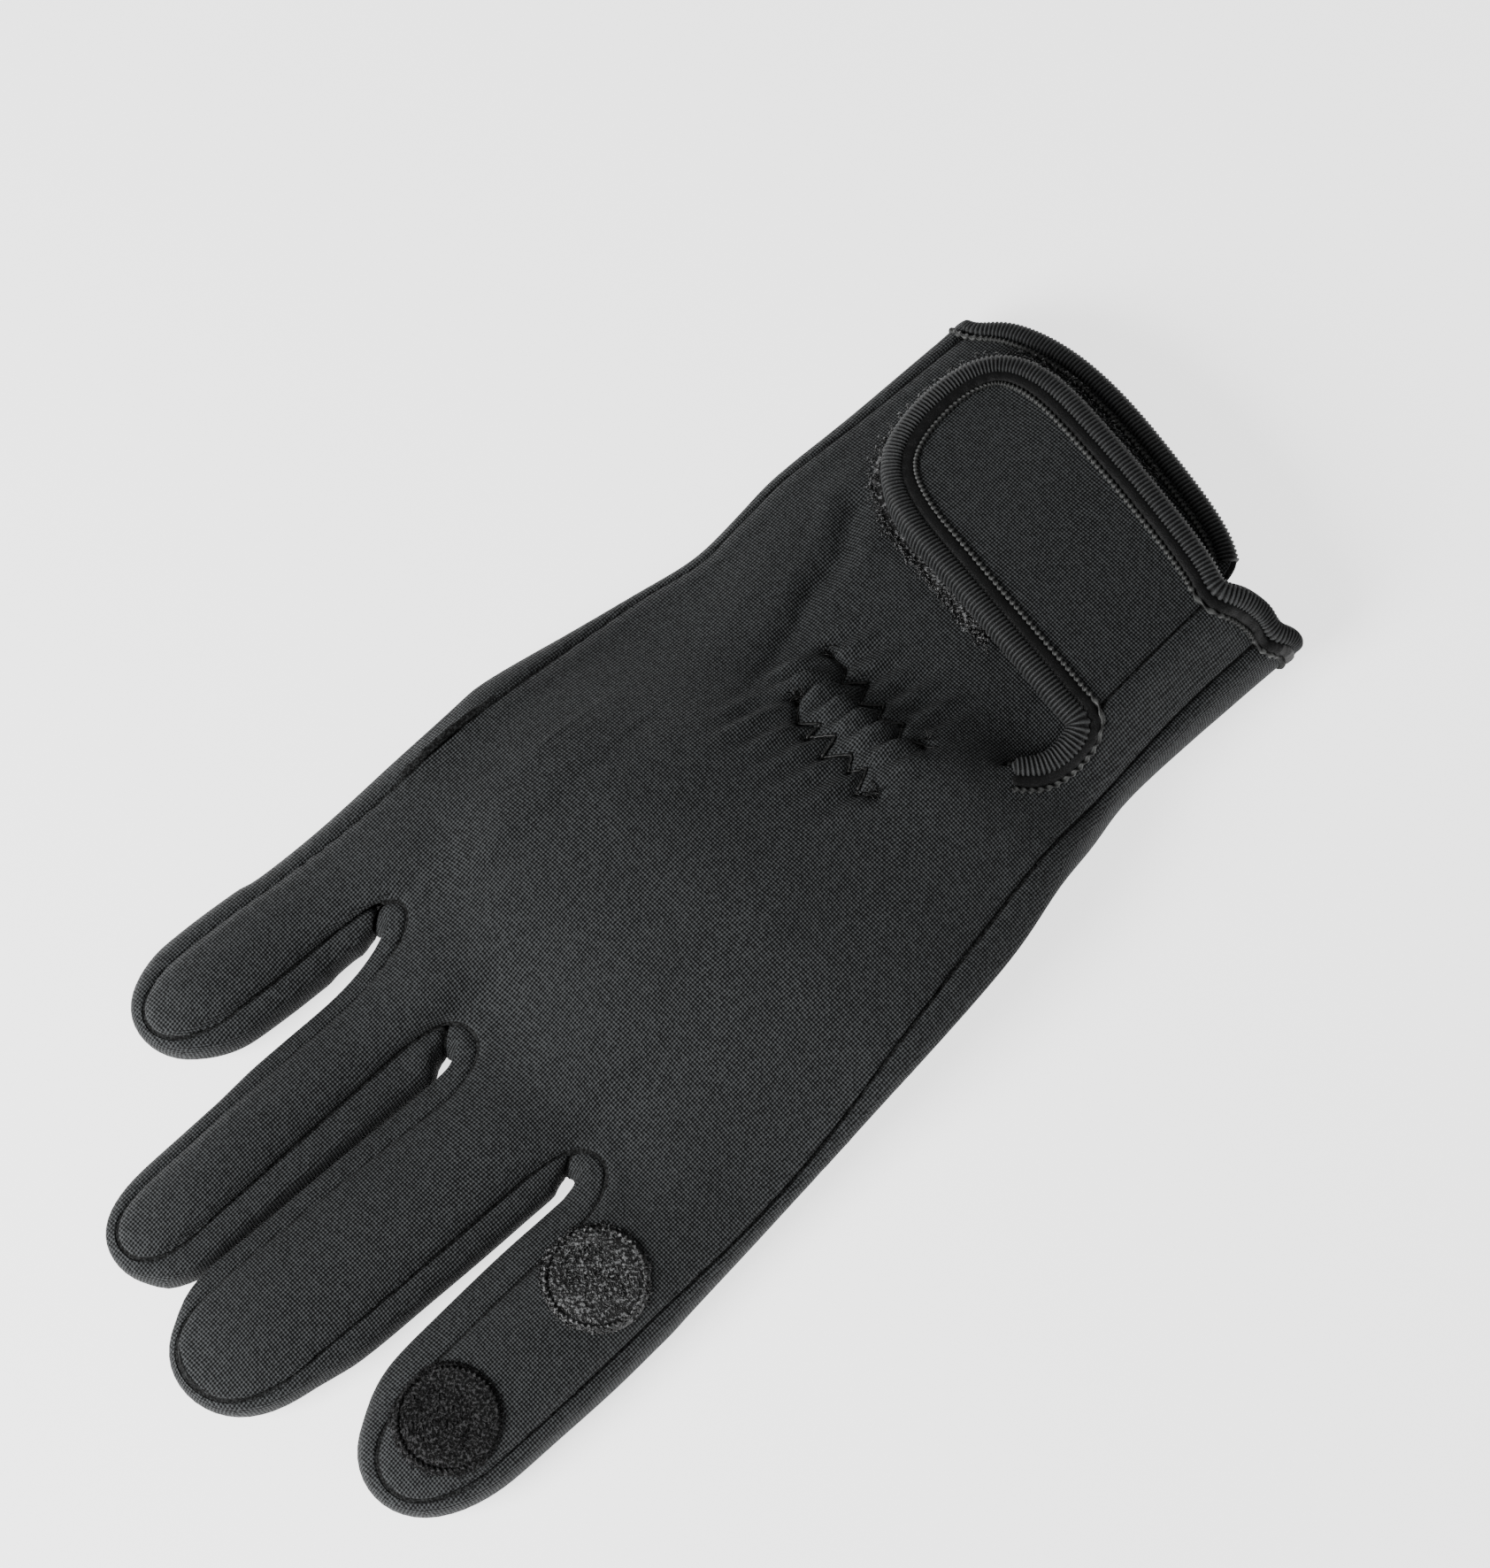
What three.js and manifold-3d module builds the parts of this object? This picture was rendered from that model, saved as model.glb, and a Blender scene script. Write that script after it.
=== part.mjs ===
// Neoprene fishing glove for the right hand, lying palm down with its thumb folded under the palm.
// Millimetres. +Z is up, +Y points to the fingertips and +X to the little finger.
// Every panel is a sheet of quads with a wall, and neighbouring panels meet along shared seam points.
import * as THREE from 'three';
import Module from 'manifold-3d';

const wasm = await Module();
wasm.setup();

// Main sizes of the glove as it lies
const GLOVE_LENGTH = 261;
const GLOVE_WIDTH = 123;
const GLOVE_HEIGHT = 23;

// Neoprene walls and the gap that is kept at every seam
const WALL = 2.5;
const SEAM_GAP = 0.3;
const SEAM_TAPER = 0.3;

// Hook and loop tape, and the tape that binds the cut edges
const TAPE = 0.9;
const BINDING_TAPE = 0.9;
const BINDING_GAP = 0.45;
const STRAP_BINDING_WIDTH = 5.2;
const CUFF_BINDING_WIDTH = 4.4;

// Folding fingertip: two round patches on the back and a slit across the inside of the index finger
const DISC_RADIUS = 10;
const DISC_FROM_TIP = { loop: 20, hook: 56 };
const SLIT_FROM_TIP = 38;
const WELT_WIDTH = 2.7;
const WELT_GAP = 0.5;

// Thumb, folded flat under the palm
const THUMB_LENGTH = 69;
const THUMB_HEEL = 26;
const THUMB_THICKNESS = 14;
const THUMB_BASE_HALF = 19.5;
const THUMB_TIP_HALF = 12.5;
const THUMB_ROUND = 13;
const THUMB_HOLE_LENGTH = 24;
const THUMB_DISC_FROM_TIP = { loop: 13.5, hook: 50 };

// Wrist tab, measured from its base seam
const TAB_LENGTH = 66;
const TAB_BASE_ALONG = 39;
const TAB_BASE_HALF = 19.8;
const TAB_MIDDLE_HALF = 21.4;
const TAB_END_HALF = 20.2;
const TAB_ROUND = 15;
const TAB_SLANT = 10.5;
const HOOK_SHARE = 0.42;
const HOOK_FRINGE = 2.2;
const LOOP_SIZE = { across: 46, along: 40, corner: 7 };
const LOOP_MIDDLE = { across: 8, along: 29 };

// A short table is a list of column names and one row for each section
function table(columns, values) {
  return values.map((row) => Object.fromEntries(columns.map((name, k) => [name, row[k]])));
}

// Shares of the glove's length (at), width (sides and insets) and height (crown and rims)
const HAND = table(
  ['at', 'pinky', 'index', 'pinkySeam', 'indexSeam', 'pinkyPalm', 'indexPalm', 'crown', 'pinkyRim', 'indexRim'],
  [
    [0.019, 0.364, -0.427, 0.037, 0.041, 0.146, 0.228, 1.00, 0.57, 0.80],
    [0.100, 0.370, -0.420, 0.034, 0.049, 0.142, 0.211, 1.00, 0.57, 0.80],
    [0.169, 0.376, -0.404, 0.031, 0.035, 0.134, 0.187, 0.98, 0.57, 0.80],
    [0.222, 0.384, -0.403, 0.026, 0.026, 0.126, 0.163, 0.96, 0.56, 0.79],
    [0.268, 0.372, -0.424, 0.021, 0.042, 0.118, 0.146, 0.93, 0.54, 0.74],
    [0.291, 0.376, -0.433, 0.020, 0.047, 0.114, 0.138, 0.93, 0.53, 0.70],
    [0.310, 0.363, -0.439, 0.019, 0.050, 0.110, 0.130, 0.91, 0.53, 0.65],
    [0.333, 0.380, -0.451, 0.021, 0.057, 0.110, 0.122, 0.90, 0.53, 0.63],
    [0.375, 0.407, -0.472, 0.029, 0.065, 0.106, 0.114, 0.88, 0.53, 0.61],
    [0.429, 0.426, -0.478, 0.041, 0.057, 0.106, 0.106, 0.87, 0.54, 0.59],
    [0.498, 0.443, -0.484, 0.057, 0.041, 0.102, 0.102, 0.86, 0.55, 0.58],
    [0.575, 0.450, -0.482, 0.052, 0.021, 0.098, 0.093, 0.83, 0.56, 0.57],
    [0.644, 0.458, -0.490, 0.049, 0.023, 0.089, 0.077, 0.78, 0.56, 0.57],
    [0.697, 0.476, -0.492, 0.046, 0.026, 0.073, 0.065, 0.75, 0.56, 0.56],
  ],
);

// Fingers from the little finger to the index finger: root and tip, half widths, tip round and insets
const FINGERS = table(
  ['name', 'rootX', 'rootY', 'tipX', 'tipY', 'rootHalf', 'midHalf', 'endHalf', 'round',
    'seamPlus', 'seamMinus', 'seamTip'],
  [
    ['pinky', 0.368, 0.700, 0.402, 0.851, 0.104, 0.114, 0.098, 0.106, 0.045, 0.038, 0.020],
    ['ring', 0.145, 0.718, 0.166, 0.973, 0.093, 0.097, 0.093, 0.098, 0.033, 0.043, 0.024],
    ['middle', -0.096, 0.718, -0.047, 1.000, 0.114, 0.124, 0.117, 0.122, 0.024, 0.030, 0.016],
    ['index', -0.362, 0.718, -0.350, 0.958, 0.129, 0.137, 0.114, 0.138, 0.051, 0.028, 0.028],
  ],
);

// Heights along a finger, as shares of the glove's height
const FINGER_HEIGHTS = table(['at', 'crown', 'rim'], [
  [0.0, 0.75, 0.56],
  [0.5, 0.71, 0.53],
  [0.8, 0.66, 0.48],
  [1.0, 0.58, 0.42],
]);

// Bottoms of the three forks, as shares of the length: back seam, edge of the gap and palm seam
const FORKS = table(['back', 'edge', 'palm'], [
  [0.648, 0.672, 0.632],
  [0.678, 0.702, 0.655],
  [0.678, 0.702, 0.652],
]);

// Cut edge of the cuff: share of the way from the little finger's side, and share of the length
const CUFF_BACK = table(['at', 'along'], [
  [0.00, 0.027],
  [0.08, 0.013],
  [0.25, 0.005],
  [0.45, 0.008],
  [0.70, 0.021],
  [0.90, 0.034],
  [1.00, 0.046],
]);
const CUFF_STRIP = { slit: 0.073, index: 0.050 };
const CUFF_PALM = { pinky: 0.012, middle: 0.008, index: 0.034 };

// Line of the wrist slit on the back, and the way it runs on as a plain line to the index finger
const SLIT = table(['at', 'across'], [
  [0.046, -0.280],
  [0.153, -0.280],
  [0.222, -0.282],
  [0.253, -0.286],
  [0.272, -0.268],
  [0.291, -0.232],
  [0.322, -0.236],
  [0.383, -0.262],
  [0.715, -0.346],
]);
const SLIT_HALF = 1.1;
const SLIT_TOP_ROW = 6;

// Rows of the hand panels, as shares of the length on the slit's line
const ROWS = [0.046, 0.105, 0.165, 0.225, 0.247, 0.268, 0.291, 0.318, 0.345, 0.372, 0.425, 0.498, 0.571,
  0.644, 0.715];

// Soft folds and gathers of the back: middle, direction in degrees, half length, half width, height
const FOLDS = table(['across', 'along', 'turn', 'reach', 'spread', 'rise'], [
  [-0.020, 0.310, 4, 0.130, 0.022, -0.085],
  [-0.045, 0.357, 6, 0.120, 0.022, -0.075],
  [-0.030, 0.333, 5, 0.110, 0.020, 0.060],
  [0.175, 0.262, 112, 0.180, 0.034, -0.075],
  [0.250, 0.300, 112, 0.200, 0.045, 0.060],
  [-0.200, 0.330, 70, 0.140, 0.050, 0.050],
  [0.130, 0.420, 100, 0.160, 0.070, 0.045],
]);

const FINGER_COLUMNS = 5;
const FINGER_ROWS = 8;
const FORK_COLUMNS = 4;
const STRIP_TOP = 2;
const STRIP_BOTTOM = 3;

// How far the thumb lifts the palm, the sides and the back above it
const LIFT_REACH = 22;
const LIFT_MARGIN = 6;
const THUMB_CLEARANCE = 0.9;
const SIDE_FOLLOWS = 0.6;
const CUFF_RAISE = 2 * BINDING_GAP + BINDING_TAPE;
const CUFF_RAISE_REACH = 18;

const EDGE_FULLNESS = 2.6;
const TIP_FULLNESS = 2.3;

const mix = (a, b, f) => a + (b - a) * f;
const clamp = (v, low, high) => Math.min(Math.max(v, low), high);
const clamp01 = (f) => clamp(f, 0, 1);
const smooth = (f) => clamp01(f) ** 2 * (3 - 2 * clamp01(f));
const radians = THREE.MathUtils.degToRad;

// Smooth reading of one column of a table
function read(rows, column, at) {
  const last = rows.length - 1;
  if (at <= rows[0].at) return rows[0][column];
  if (at >= rows[last].at) return rows[last][column];
  let k = 0;
  while (rows[k + 1].at < at) k += 1;
  const slope = (i) => {
    const low = rows[Math.max(i - 1, 0)];
    const high = rows[Math.min(i + 1, last)];
    return (high[column] - low[column]) / (high.at - low.at);
  };
  const span = rows[k + 1].at - rows[k].at;
  const f = (at - rows[k].at) / span;
  const rise = rows[k + 1][column] - rows[k][column];
  const start = slope(k) * span;
  const end = slope(k + 1) * span;
  return rows[k][column] + f * (start + f * (3 * rise - 2 * start - end + f * (start + end - 2 * rise)));
}

const handX = (column, y) => read(HAND, column, y / GLOVE_LENGTH) * GLOVE_WIDTH;
const handZ = (column, y) => read(HAND, column, y / GLOVE_LENGTH) * GLOVE_HEIGHT;
const slitX = (y) => read(SLIT, 'across', y / GLOVE_LENGTH) * GLOVE_WIDTH;

// Side outlines of the hand: the silhouette, the back seam inside it and the palm seam under it
const SIDE_INSET = { back: 'Seam', palm: 'Palm' };
function sideX(side, kind, y) {
  const inward = side === 'pinky' ? -1 : 1;
  const inset = kind === 'edge' ? 0 : handX(side + SIDE_INSET[kind], y);
  return handX(side, y) + inward * inset;
}

// A finger's insets for one of the three outlines
const PALM_INSET = 0.065;
const PALM_TIP_INSET = 0.055;
function insets(finger, kind) {
  if (kind === 'edge') return { plus: 0, minus: 0, tip: 0 };
  if (kind === 'palm') {
    return { plus: PALM_INSET * GLOVE_WIDTH, minus: PALM_INSET * GLOVE_WIDTH, tip: PALM_TIP_INSET * GLOVE_WIDTH };
  }
  return {
    plus: finger.seamPlus * GLOVE_WIDTH,
    minus: finger.seamMinus * GLOVE_WIDTH,
    tip: finger.seamTip * GLOVE_WIDTH,
  };
}

// Middle line and half width of one outline of a finger at a place along the glove
function fingerSpan(finger, kind, y) {
  const f = (y - finger.rootY * GLOVE_LENGTH) / ((finger.tipY - finger.rootY) * GLOVE_LENGTH);
  const t = clamp01(f);
  const inset = insets(finger, kind);
  const half = mix(mix(finger.rootHalf, finger.midHalf, t), mix(finger.midHalf, finger.endHalf, t), t)
    * GLOVE_WIDTH;
  const middle = mix(finger.rootX, finger.tipX, f) * GLOVE_WIDTH;
  return { middle: middle + (inset.minus - inset.plus) / 2, half: half - (inset.minus + inset.plus) / 2, t };
}

// Length of a finger's outline on one column, from its root to the rounded end
function fingerReach(finger, kind, s) {
  const straight = (finger.tipY - finger.rootY) * GLOVE_LENGTH - finger.round * GLOVE_WIDTH;
  const round = finger.round * GLOVE_WIDTH - insets(finger, kind).tip;
  const arc = Math.max(1 - Math.abs(s) ** TIP_FULLNESS, 0) ** (1 / TIP_FULLNESS);
  return { straight, full: straight + round * arc };
}

// Axis of the folded thumb, in the plane of the floor
const THUMB_BASE = { across: -0.224, along: 0.429 };
const THUMB_TURN = 30.5;
const thumbOrigin = new THREE.Vector2(THUMB_BASE.across * GLOVE_WIDTH, THUMB_BASE.along * GLOVE_LENGTH);
const thumbAxis = new THREE.Vector2(Math.cos(radians(THUMB_TURN)), Math.sin(radians(THUMB_TURN)));
const THUMB_FLOOR = SEAM_GAP + TAPE;
const THUMB_TOP = THUMB_FLOOR + THUMB_THICKNESS;

function thumbHalf(q) {
  return mix(THUMB_BASE_HALF, THUMB_TIP_HALF, smooth((q + THUMB_HEEL / 2) / THUMB_LENGTH));
}

// Height by which the thumb lifts the palm at a place
function lift(x, y) {
  const dx = x - thumbOrigin.x;
  const dy = y - thumbOrigin.y;
  const q = dx * thumbAxis.x + dy * thumbAxis.y;
  const p = dy * thumbAxis.x - dx * thumbAxis.y;
  const start = THUMB_BASE_HALF - THUMB_HEEL;
  const end = THUMB_LENGTH - THUMB_TIP_HALF;
  const beyond = q < start ? start - q : Math.max(q - end, 0);
  const away = Math.hypot(beyond, p) - thumbHalf(q);
  const towardFingers = 1 - smooth((y / GLOVE_LENGTH - 0.580) / 0.13);
  return (THUMB_TOP + THUMB_CLEARANCE) * (1 - smooth((away - LIFT_MARGIN) / LIFT_REACH)) * towardFingers;
}

// Height of one finger's back above its rim, from 0 at the seam to the full crown
function fingerCrown(finger, x, y) {
  const span = fingerSpan(finger, 'back', y);
  const s = (x - span.middle) / span.half;
  if (Math.abs(s) >= 1) return 0;
  const from = y - finger.rootY * GLOVE_LENGTH;
  const reach = fingerReach(finger, 'back', s);
  const end = clamp01((from - reach.straight) / (reach.full - reach.straight));
  const height = (read(FINGER_HEIGHTS, 'crown', span.t) - read(FINGER_HEIGHTS, 'rim', span.t)) * GLOVE_HEIGHT;
  return height * (1 - Math.abs(s) ** EDGE_FULLNESS) * (1 - end ** EDGE_FULLNESS);
}

function nearestFinger(x, y) {
  const far = (finger) => Math.abs(x - fingerSpan(finger, 'edge', y).middle);
  return FINGERS.reduce((best, finger) => (far(finger) < far(best) ? finger : best));
}

function folds(x, y) {
  return FOLDS.reduce((sum, fold) => {
    const dx = x - fold.across * GLOVE_WIDTH;
    const dy = y - fold.along * GLOVE_LENGTH;
    const turn = radians(fold.turn);
    const long = (dx * Math.cos(turn) + dy * Math.sin(turn)) / (fold.reach * GLOVE_WIDTH);
    const wide = (dy * Math.cos(turn) - dx * Math.sin(turn)) / (fold.spread * GLOVE_WIDTH);
    return sum + fold.rise * GLOVE_HEIGHT * Math.exp(-(long ** 4) - wide ** 2);
  }, 0);
}

// Height of the back of the glove
const BLEND_START = 0.625;
const BLEND_END = 0.71;
function backZ(x, y) {
  const pinkyX = sideX('pinky', 'back', y);
  const indexX = sideX('index', 'back', y);
  const u = clamp01((x - pinkyX) / (indexX - pinkyX));
  const rim = mix(handZ('pinkyRim', y), handZ('indexRim', y), u);
  const bell = 1 - Math.abs(2 * u - 1) ** EDGE_FULLNESS;
  const hand = rim + (handZ('crown', y) - mix(handZ('pinkyRim', y), handZ('indexRim', y), 0.5)) * bell;
  const finger = nearestFinger(x, y);
  const t = fingerSpan(finger, 'back', y).t;
  const fingers = read(FINGER_HEIGHTS, 'rim', t) * GLOVE_HEIGHT + fingerCrown(finger, x, y);
  const blend = smooth((y / GLOVE_LENGTH - BLEND_START) / (BLEND_END - BLEND_START));
  const overPalm = clamp(x, sideX('index', 'palm', y), sideX('pinky', 'palm', y));
  return mix(hand + folds(x, y) * bell, fingers, blend) + SIDE_FOLLOWS * lift(overPalm, y);
}

// Height of the palm's outer face above the floor
function palmZ(x, y) {
  return lift(x, y) + CUFF_RAISE * (1 - smooth((y - CUFF_RAISE_REACH / 2) / CUFF_RAISE_REACH));
}

// Rise of the strip beside the slit, which carries the tab over the tapes
const STACK = 3 * SEAM_GAP + BINDING_GAP + 2 * TAPE + BINDING_TAPE + WALL;
function stripRise(x, y) {
  const across = clamp01((x - sideX('index', 'back', y)) / (slitX(y) - sideX('index', 'back', y)));
  return STACK * smooth(across * 1.5) * smooth((0.285 - y / GLOVE_LENGTH) / 0.06);
}

// Dip of the main back where it passes under the bound end of the slit
const SLIT_DIP = { depth: 3.4, along: 0.264, reach: 0.023, across: 0.13 };
function slitDip(x, y) {
  const away = Math.abs(x - slitX(y)) / (SLIT_DIP.across * GLOVE_WIDTH);
  const along = (y / GLOVE_LENGTH - SLIT_DIP.along) / SLIT_DIP.reach;
  return SLIT_DIP.depth * smooth(1 - away) * Math.exp(-(along ** 2));
}

// Point at a height above the back, square to its surface
function onBack(x, y, height) {
  const step = 0.5;
  const slopeX = (backZ(x + step, y) - backZ(x - step, y)) / (2 * step);
  const slopeY = (backZ(x, y + step) - backZ(x, y - step)) / (2 * step);
  const normal = new THREE.Vector3(-slopeX, -slopeY, 1).normalize();
  return new THREE.Vector3(x, y, backZ(x, y)).addScaledVector(normal, height);
}

// A skin keeps the shared points of sheets that are sewn together
class Skin {
  constructor() {
    this.points = [];
    this.ids = new Map();
    this.sheets = [];
  }

  pin(x, y, z) {
    const key = [x, y, z].map((v) => Math.round(v * 1000)).join(' ');
    if (!this.ids.has(key)) {
      this.ids.set(key, this.points.length);
      this.points.push(new THREE.Vector3(x, y, z));
    }
    return this.ids.get(key);
  }

  sheet(name) {
    const sheet = { name, faces: [] };
    this.sheets.push(sheet);
    return sheet;
  }

  // Adds the quads between rows of points; keep says which quads the sheet has
  grid(sheet, rows, flip = false, keep = () => true) {
    for (let i = 0; i + 1 < rows.length; i += 1) {
      for (let j = 0; j + 1 < rows[i].length; j += 1) {
        const quad = [rows[i][j], rows[i][j + 1], rows[i + 1][j + 1], rows[i + 1][j]];
        if (keep(i, j) && !quad.includes(null)) sheet.faces.push(flip ? quad.reverse() : quad);
      }
    }
  }

  faceNormal(face) {
    const [a, b, c, d] = face.map((id) => this.points[id]);
    const across = new THREE.Vector3().subVectors(c, a);
    return across.cross(new THREE.Vector3().subVectors(d, b));
  }

  // Turns every sheet into a closed wall, with half a gap taken off along each seam
  finish(wall) {
    const normals = this.points.map(() => new THREE.Vector3());
    const seamCount = new Map();
    const edgeKey = (a, b) => (a < b ? `${a} ${b}` : `${b} ${a}`);
    for (const sheet of this.sheets) {
      sheet.rim = new Map();
      for (const face of sheet.faces) {
        const normal = this.faceNormal(face);
        face.forEach((id, k) => {
          const next = face[(k + 1) % face.length];
          normals[id].add(normal);
          const key = edgeKey(id, next);
          if (sheet.rim.has(key)) sheet.rim.delete(key);
          else sheet.rim.set(key, { from: id, to: next, normal: normal.clone().normalize() });
        });
      }
      for (const key of sheet.rim.keys()) seamCount.set(key, (seamCount.get(key) ?? 0) + 1);
    }
    normals.forEach((normal) => normal.normalize());
    const slack = this.points.map(() => ({ sum: 0, count: 0 }));
    for (const sheet of this.sheets) {
      for (const face of sheet.faces) {
        const normal = this.faceNormal(face).normalize();
        for (const id of face) {
          slack[id].sum += normal.dot(normals[id]);
          slack[id].count += 1;
        }
      }
    }
    this.inner = this.points.map((point, id) => {
      const stretch = 1 / Math.max(slack[id].sum / slack[id].count, 0.7);
      return point.clone().addScaledVector(normals[id], -wall * stretch);
    });
    for (const sheet of this.sheets) {
      const shift = new Map();
      for (const [key, edge] of sheet.rim) {
        if (seamCount.get(key) < 2) continue;
        const along = new THREE.Vector3().subVectors(this.points[edge.to], this.points[edge.from]).normalize();
        const inward = new THREE.Vector3().crossVectors(edge.normal, along);
        for (const id of [edge.from, edge.to]) {
          const list = shift.get(id) ?? [];
          if (list.every((other) => other.dot(inward) < 0.9)) list.push(inward);
          shift.set(id, list);
        }
      }
      sheet.shift = shift;
    }
  }

  place(sheet, id, inner) {
    const point = (inner ? this.inner : this.points)[id].clone();
    const step = SEAM_GAP / 2 + (inner ? SEAM_TAPER : 0);
    for (const inward of sheet.shift.get(id) ?? []) point.addScaledVector(inward, step);
    return point;
  }

  // Closed solid of one sheet as a geometry
  solid(sheet) {
    const builder = new Builder();
    const side = (face, inner) => face.map((id) => this.place(sheet, id, inner));
    for (const face of sheet.faces) {
      builder.polygon(side(face, false));
      const [a, b, c, d] = side(face, true);
      builder.triangle(a, c, b);
      builder.triangle(a, d, c);
    }
    for (const edge of sheet.rim.values()) {
      const [from, to] = [edge.from, edge.to].map((id) => this.place(sheet, id, false));
      const [innerFrom, innerTo] = [edge.from, edge.to].map((id) => this.place(sheet, id, true));
      builder.polygon([to, from, innerFrom, innerTo]);
    }
    return builder.geometry();
  }
}

// Collects triangles on shared points
class Builder {
  constructor() {
    this.positions = [];
    this.index = [];
    this.ids = new Map();
  }

  id(point) {
    const key = point.toArray().map((v) => Math.round(v * 10000)).join(' ');
    if (!this.ids.has(key)) {
      this.ids.set(key, this.positions.length / 3);
      this.positions.push(...point.toArray());
    }
    return this.ids.get(key);
  }

  triangle(a, b, c) {
    const ids = [a, b, c].map((point) => this.id(point));
    if (new Set(ids).size === 3) this.index.push(...ids);
  }

  polygon(points) {
    for (let k = 1; k + 1 < points.length; k += 1) this.triangle(points[0], points[k], points[k + 1]);
  }

  geometry() {
    const geometry = new THREE.BufferGeometry();
    geometry.setAttribute('position', new THREE.Float32BufferAttribute(this.positions, 3));
    geometry.setIndex(this.index);
    return geometry;
  }
}

// Materials, one for each kind of surface
const FINISHES = {
  neoprene: { color: 0x2a2c2c, roughness: 0.9, metalness: 0 },
  palm_grip: { color: 0x2b2c2b, roughness: 0.7, metalness: 0 },
  binding: { color: 0x1d1e1e, roughness: 0.8, metalness: 0 },
  hook_tape: { color: 0x343534, roughness: 0.5, metalness: 0 },
  loop_tape: { color: 0x151615, roughness: 1, metalness: 0 },
};

const glove = new THREE.Group();
function addPiece(name, geometry, finish) {
  const material = new THREE.MeshStandardMaterial(FINISHES[finish]);
  material.name = finish;
  const mesh = new THREE.Mesh(geometry, material);
  mesh.name = name;
  glove.add(mesh);
}

// Columns across a finger, closer together towards its seams
const FINGER_SHARES = Array.from({ length: FINGER_COLUMNS + 1 }, (_, j) => (
  Math.sin(Math.PI * (0.5 - j / FINGER_COLUMNS))
));

// Outline point of a finger on one column, from its root (share 0) to its end (share 1)
function fingerPoint(finger, kind, s, share) {
  const y = finger.rootY * GLOVE_LENGTH + fingerReach(finger, kind, s).full * share;
  const span = fingerSpan(finger, kind, y);
  return [span.middle + span.half * s, y];
}

// Bottom of the fork between two fingers, as an arc from one root to the next
function forkPoint(k, kind, share) {
  const [startX, startY] = fingerPoint(FINGERS[k], kind, -1, 0);
  const [endX, endY] = fingerPoint(FINGERS[k + 1], kind, 1, 0);
  const turn = Math.PI * share;
  const full = (v) => Math.sign(v) * Math.abs(v) ** 0.85;
  const across = (1 - full(Math.cos(turn))) / 2;
  const top = mix(startY, endY, across);
  const bottom = FORKS[k][kind] * GLOVE_LENGTH;
  return [mix(startX, endX, across), mix(top, bottom, full(Math.sin(turn)))];
}

// Front line of the hand: finger roots and forks from the little finger's side to the index side
function frontLine(kind) {
  const line = [];
  FINGERS.forEach((finger, k) => {
    FINGER_SHARES.forEach((s) => line.push(fingerPoint(finger, kind, s, 0)));
    if (k + 1 === FINGERS.length) return;
    for (let j = 1; j < FORK_COLUMNS; j += 1) line.push(forkPoint(k, kind, j / FORK_COLUMNS));
  });
  return line;
}

const COLUMNS = FINGERS.length * FINGER_COLUMNS + (FINGERS.length - 1) * FORK_COLUMNS;
const STRIP_COLUMNS = 3;
const SLIT_COLUMN = COLUMNS - STRIP_COLUMNS;
const rowShare = (i) => (ROWS[i] - ROWS[0]) / (ROWS[ROWS.length - 1] - ROWS[0]);

// Length from the cuff's edge to a point of a hand row
function rowY(cuffY, frontY, i) {
  const share = rowShare(i);
  const mean = ROWS[ROWS.length - 1] * GLOVE_LENGTH;
  return mix(cuffY, mean, share) + (frontY - mean) * share ** 3;
}

// Points of the back's hand rows; part is main, up to the slit, or strip, beside the slit
function backRow(i, part) {
  const front = frontLine('back');
  const row = [];
  const split = i < SLIT_TOP_ROW;
  const first = part === 'main' ? 0 : SLIT_COLUMN;
  const last = part === 'main' ? SLIT_COLUMN : COLUMNS;
  for (let j = first; j <= last; j += 1) {
    const even = (j - first) / (last - first);
    const ahead = (front[j][0] - front[first][0]) / (front[last][0] - front[first][0]);
    const across = mix(even, ahead, smooth(rowShare(i)));
    const cuff = part === 'main'
      ? read(CUFF_BACK, 'along', even)
      : mix(CUFF_STRIP.slit, CUFF_STRIP.index, even);
    const y = rowY((i === 0 || part === 'main' ? cuff : ROWS[0]) * GLOVE_LENGTH, front[j][1], i);
    const edge = part === 'main' ? sideX('pinky', 'back', y) : sideX('index', 'back', y);
    const onSlit = slitX(y) + (split ? SLIT_HALF * (part === 'main' ? 1 : -1) : 0);
    let x = part === 'main' ? mix(edge, onSlit, across) : mix(onSlit, edge, across);
    if (i === ROWS.length - 1) x = front[j][0];
    const dip = part === 'main' || !split ? slitDip(x, y) : 0;
    const z = backZ(x, y) - dip + (part === 'strip' ? stripRise(x, y) : 0);
    row.push([x, y, z]);
  }
  return row;
}

function palmRow(i) {
  const front = frontLine('palm');
  return front.map(([frontX, frontY], j) => {
    const even = j / COLUMNS;
    const ahead = (frontX - front[0][0]) / (front[COLUMNS][0] - front[0][0]);
    const across = mix(even, ahead, smooth(rowShare(i)));
    const bow = (CUFF_PALM.middle - mix(CUFF_PALM.pinky, CUFF_PALM.index, 0.5)) * (1 - (2 * even - 1) ** 2);
    const cuff = (mix(CUFF_PALM.pinky, CUFF_PALM.index, even) + bow) * GLOVE_LENGTH;
    const y = rowY(cuff, frontY, i);
    const x = i === ROWS.length - 1 ? frontX : mix(sideX('pinky', 'palm', y), sideX('index', 'palm', y), across);
    return [x, y, palmZ(x, y)];
  });
}

const skin = new Skin();
const pinAll = (row) => row.map(([x, y, z]) => skin.pin(x, y, z));
const heightOf = { back: backZ, palm: palmZ };

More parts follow.
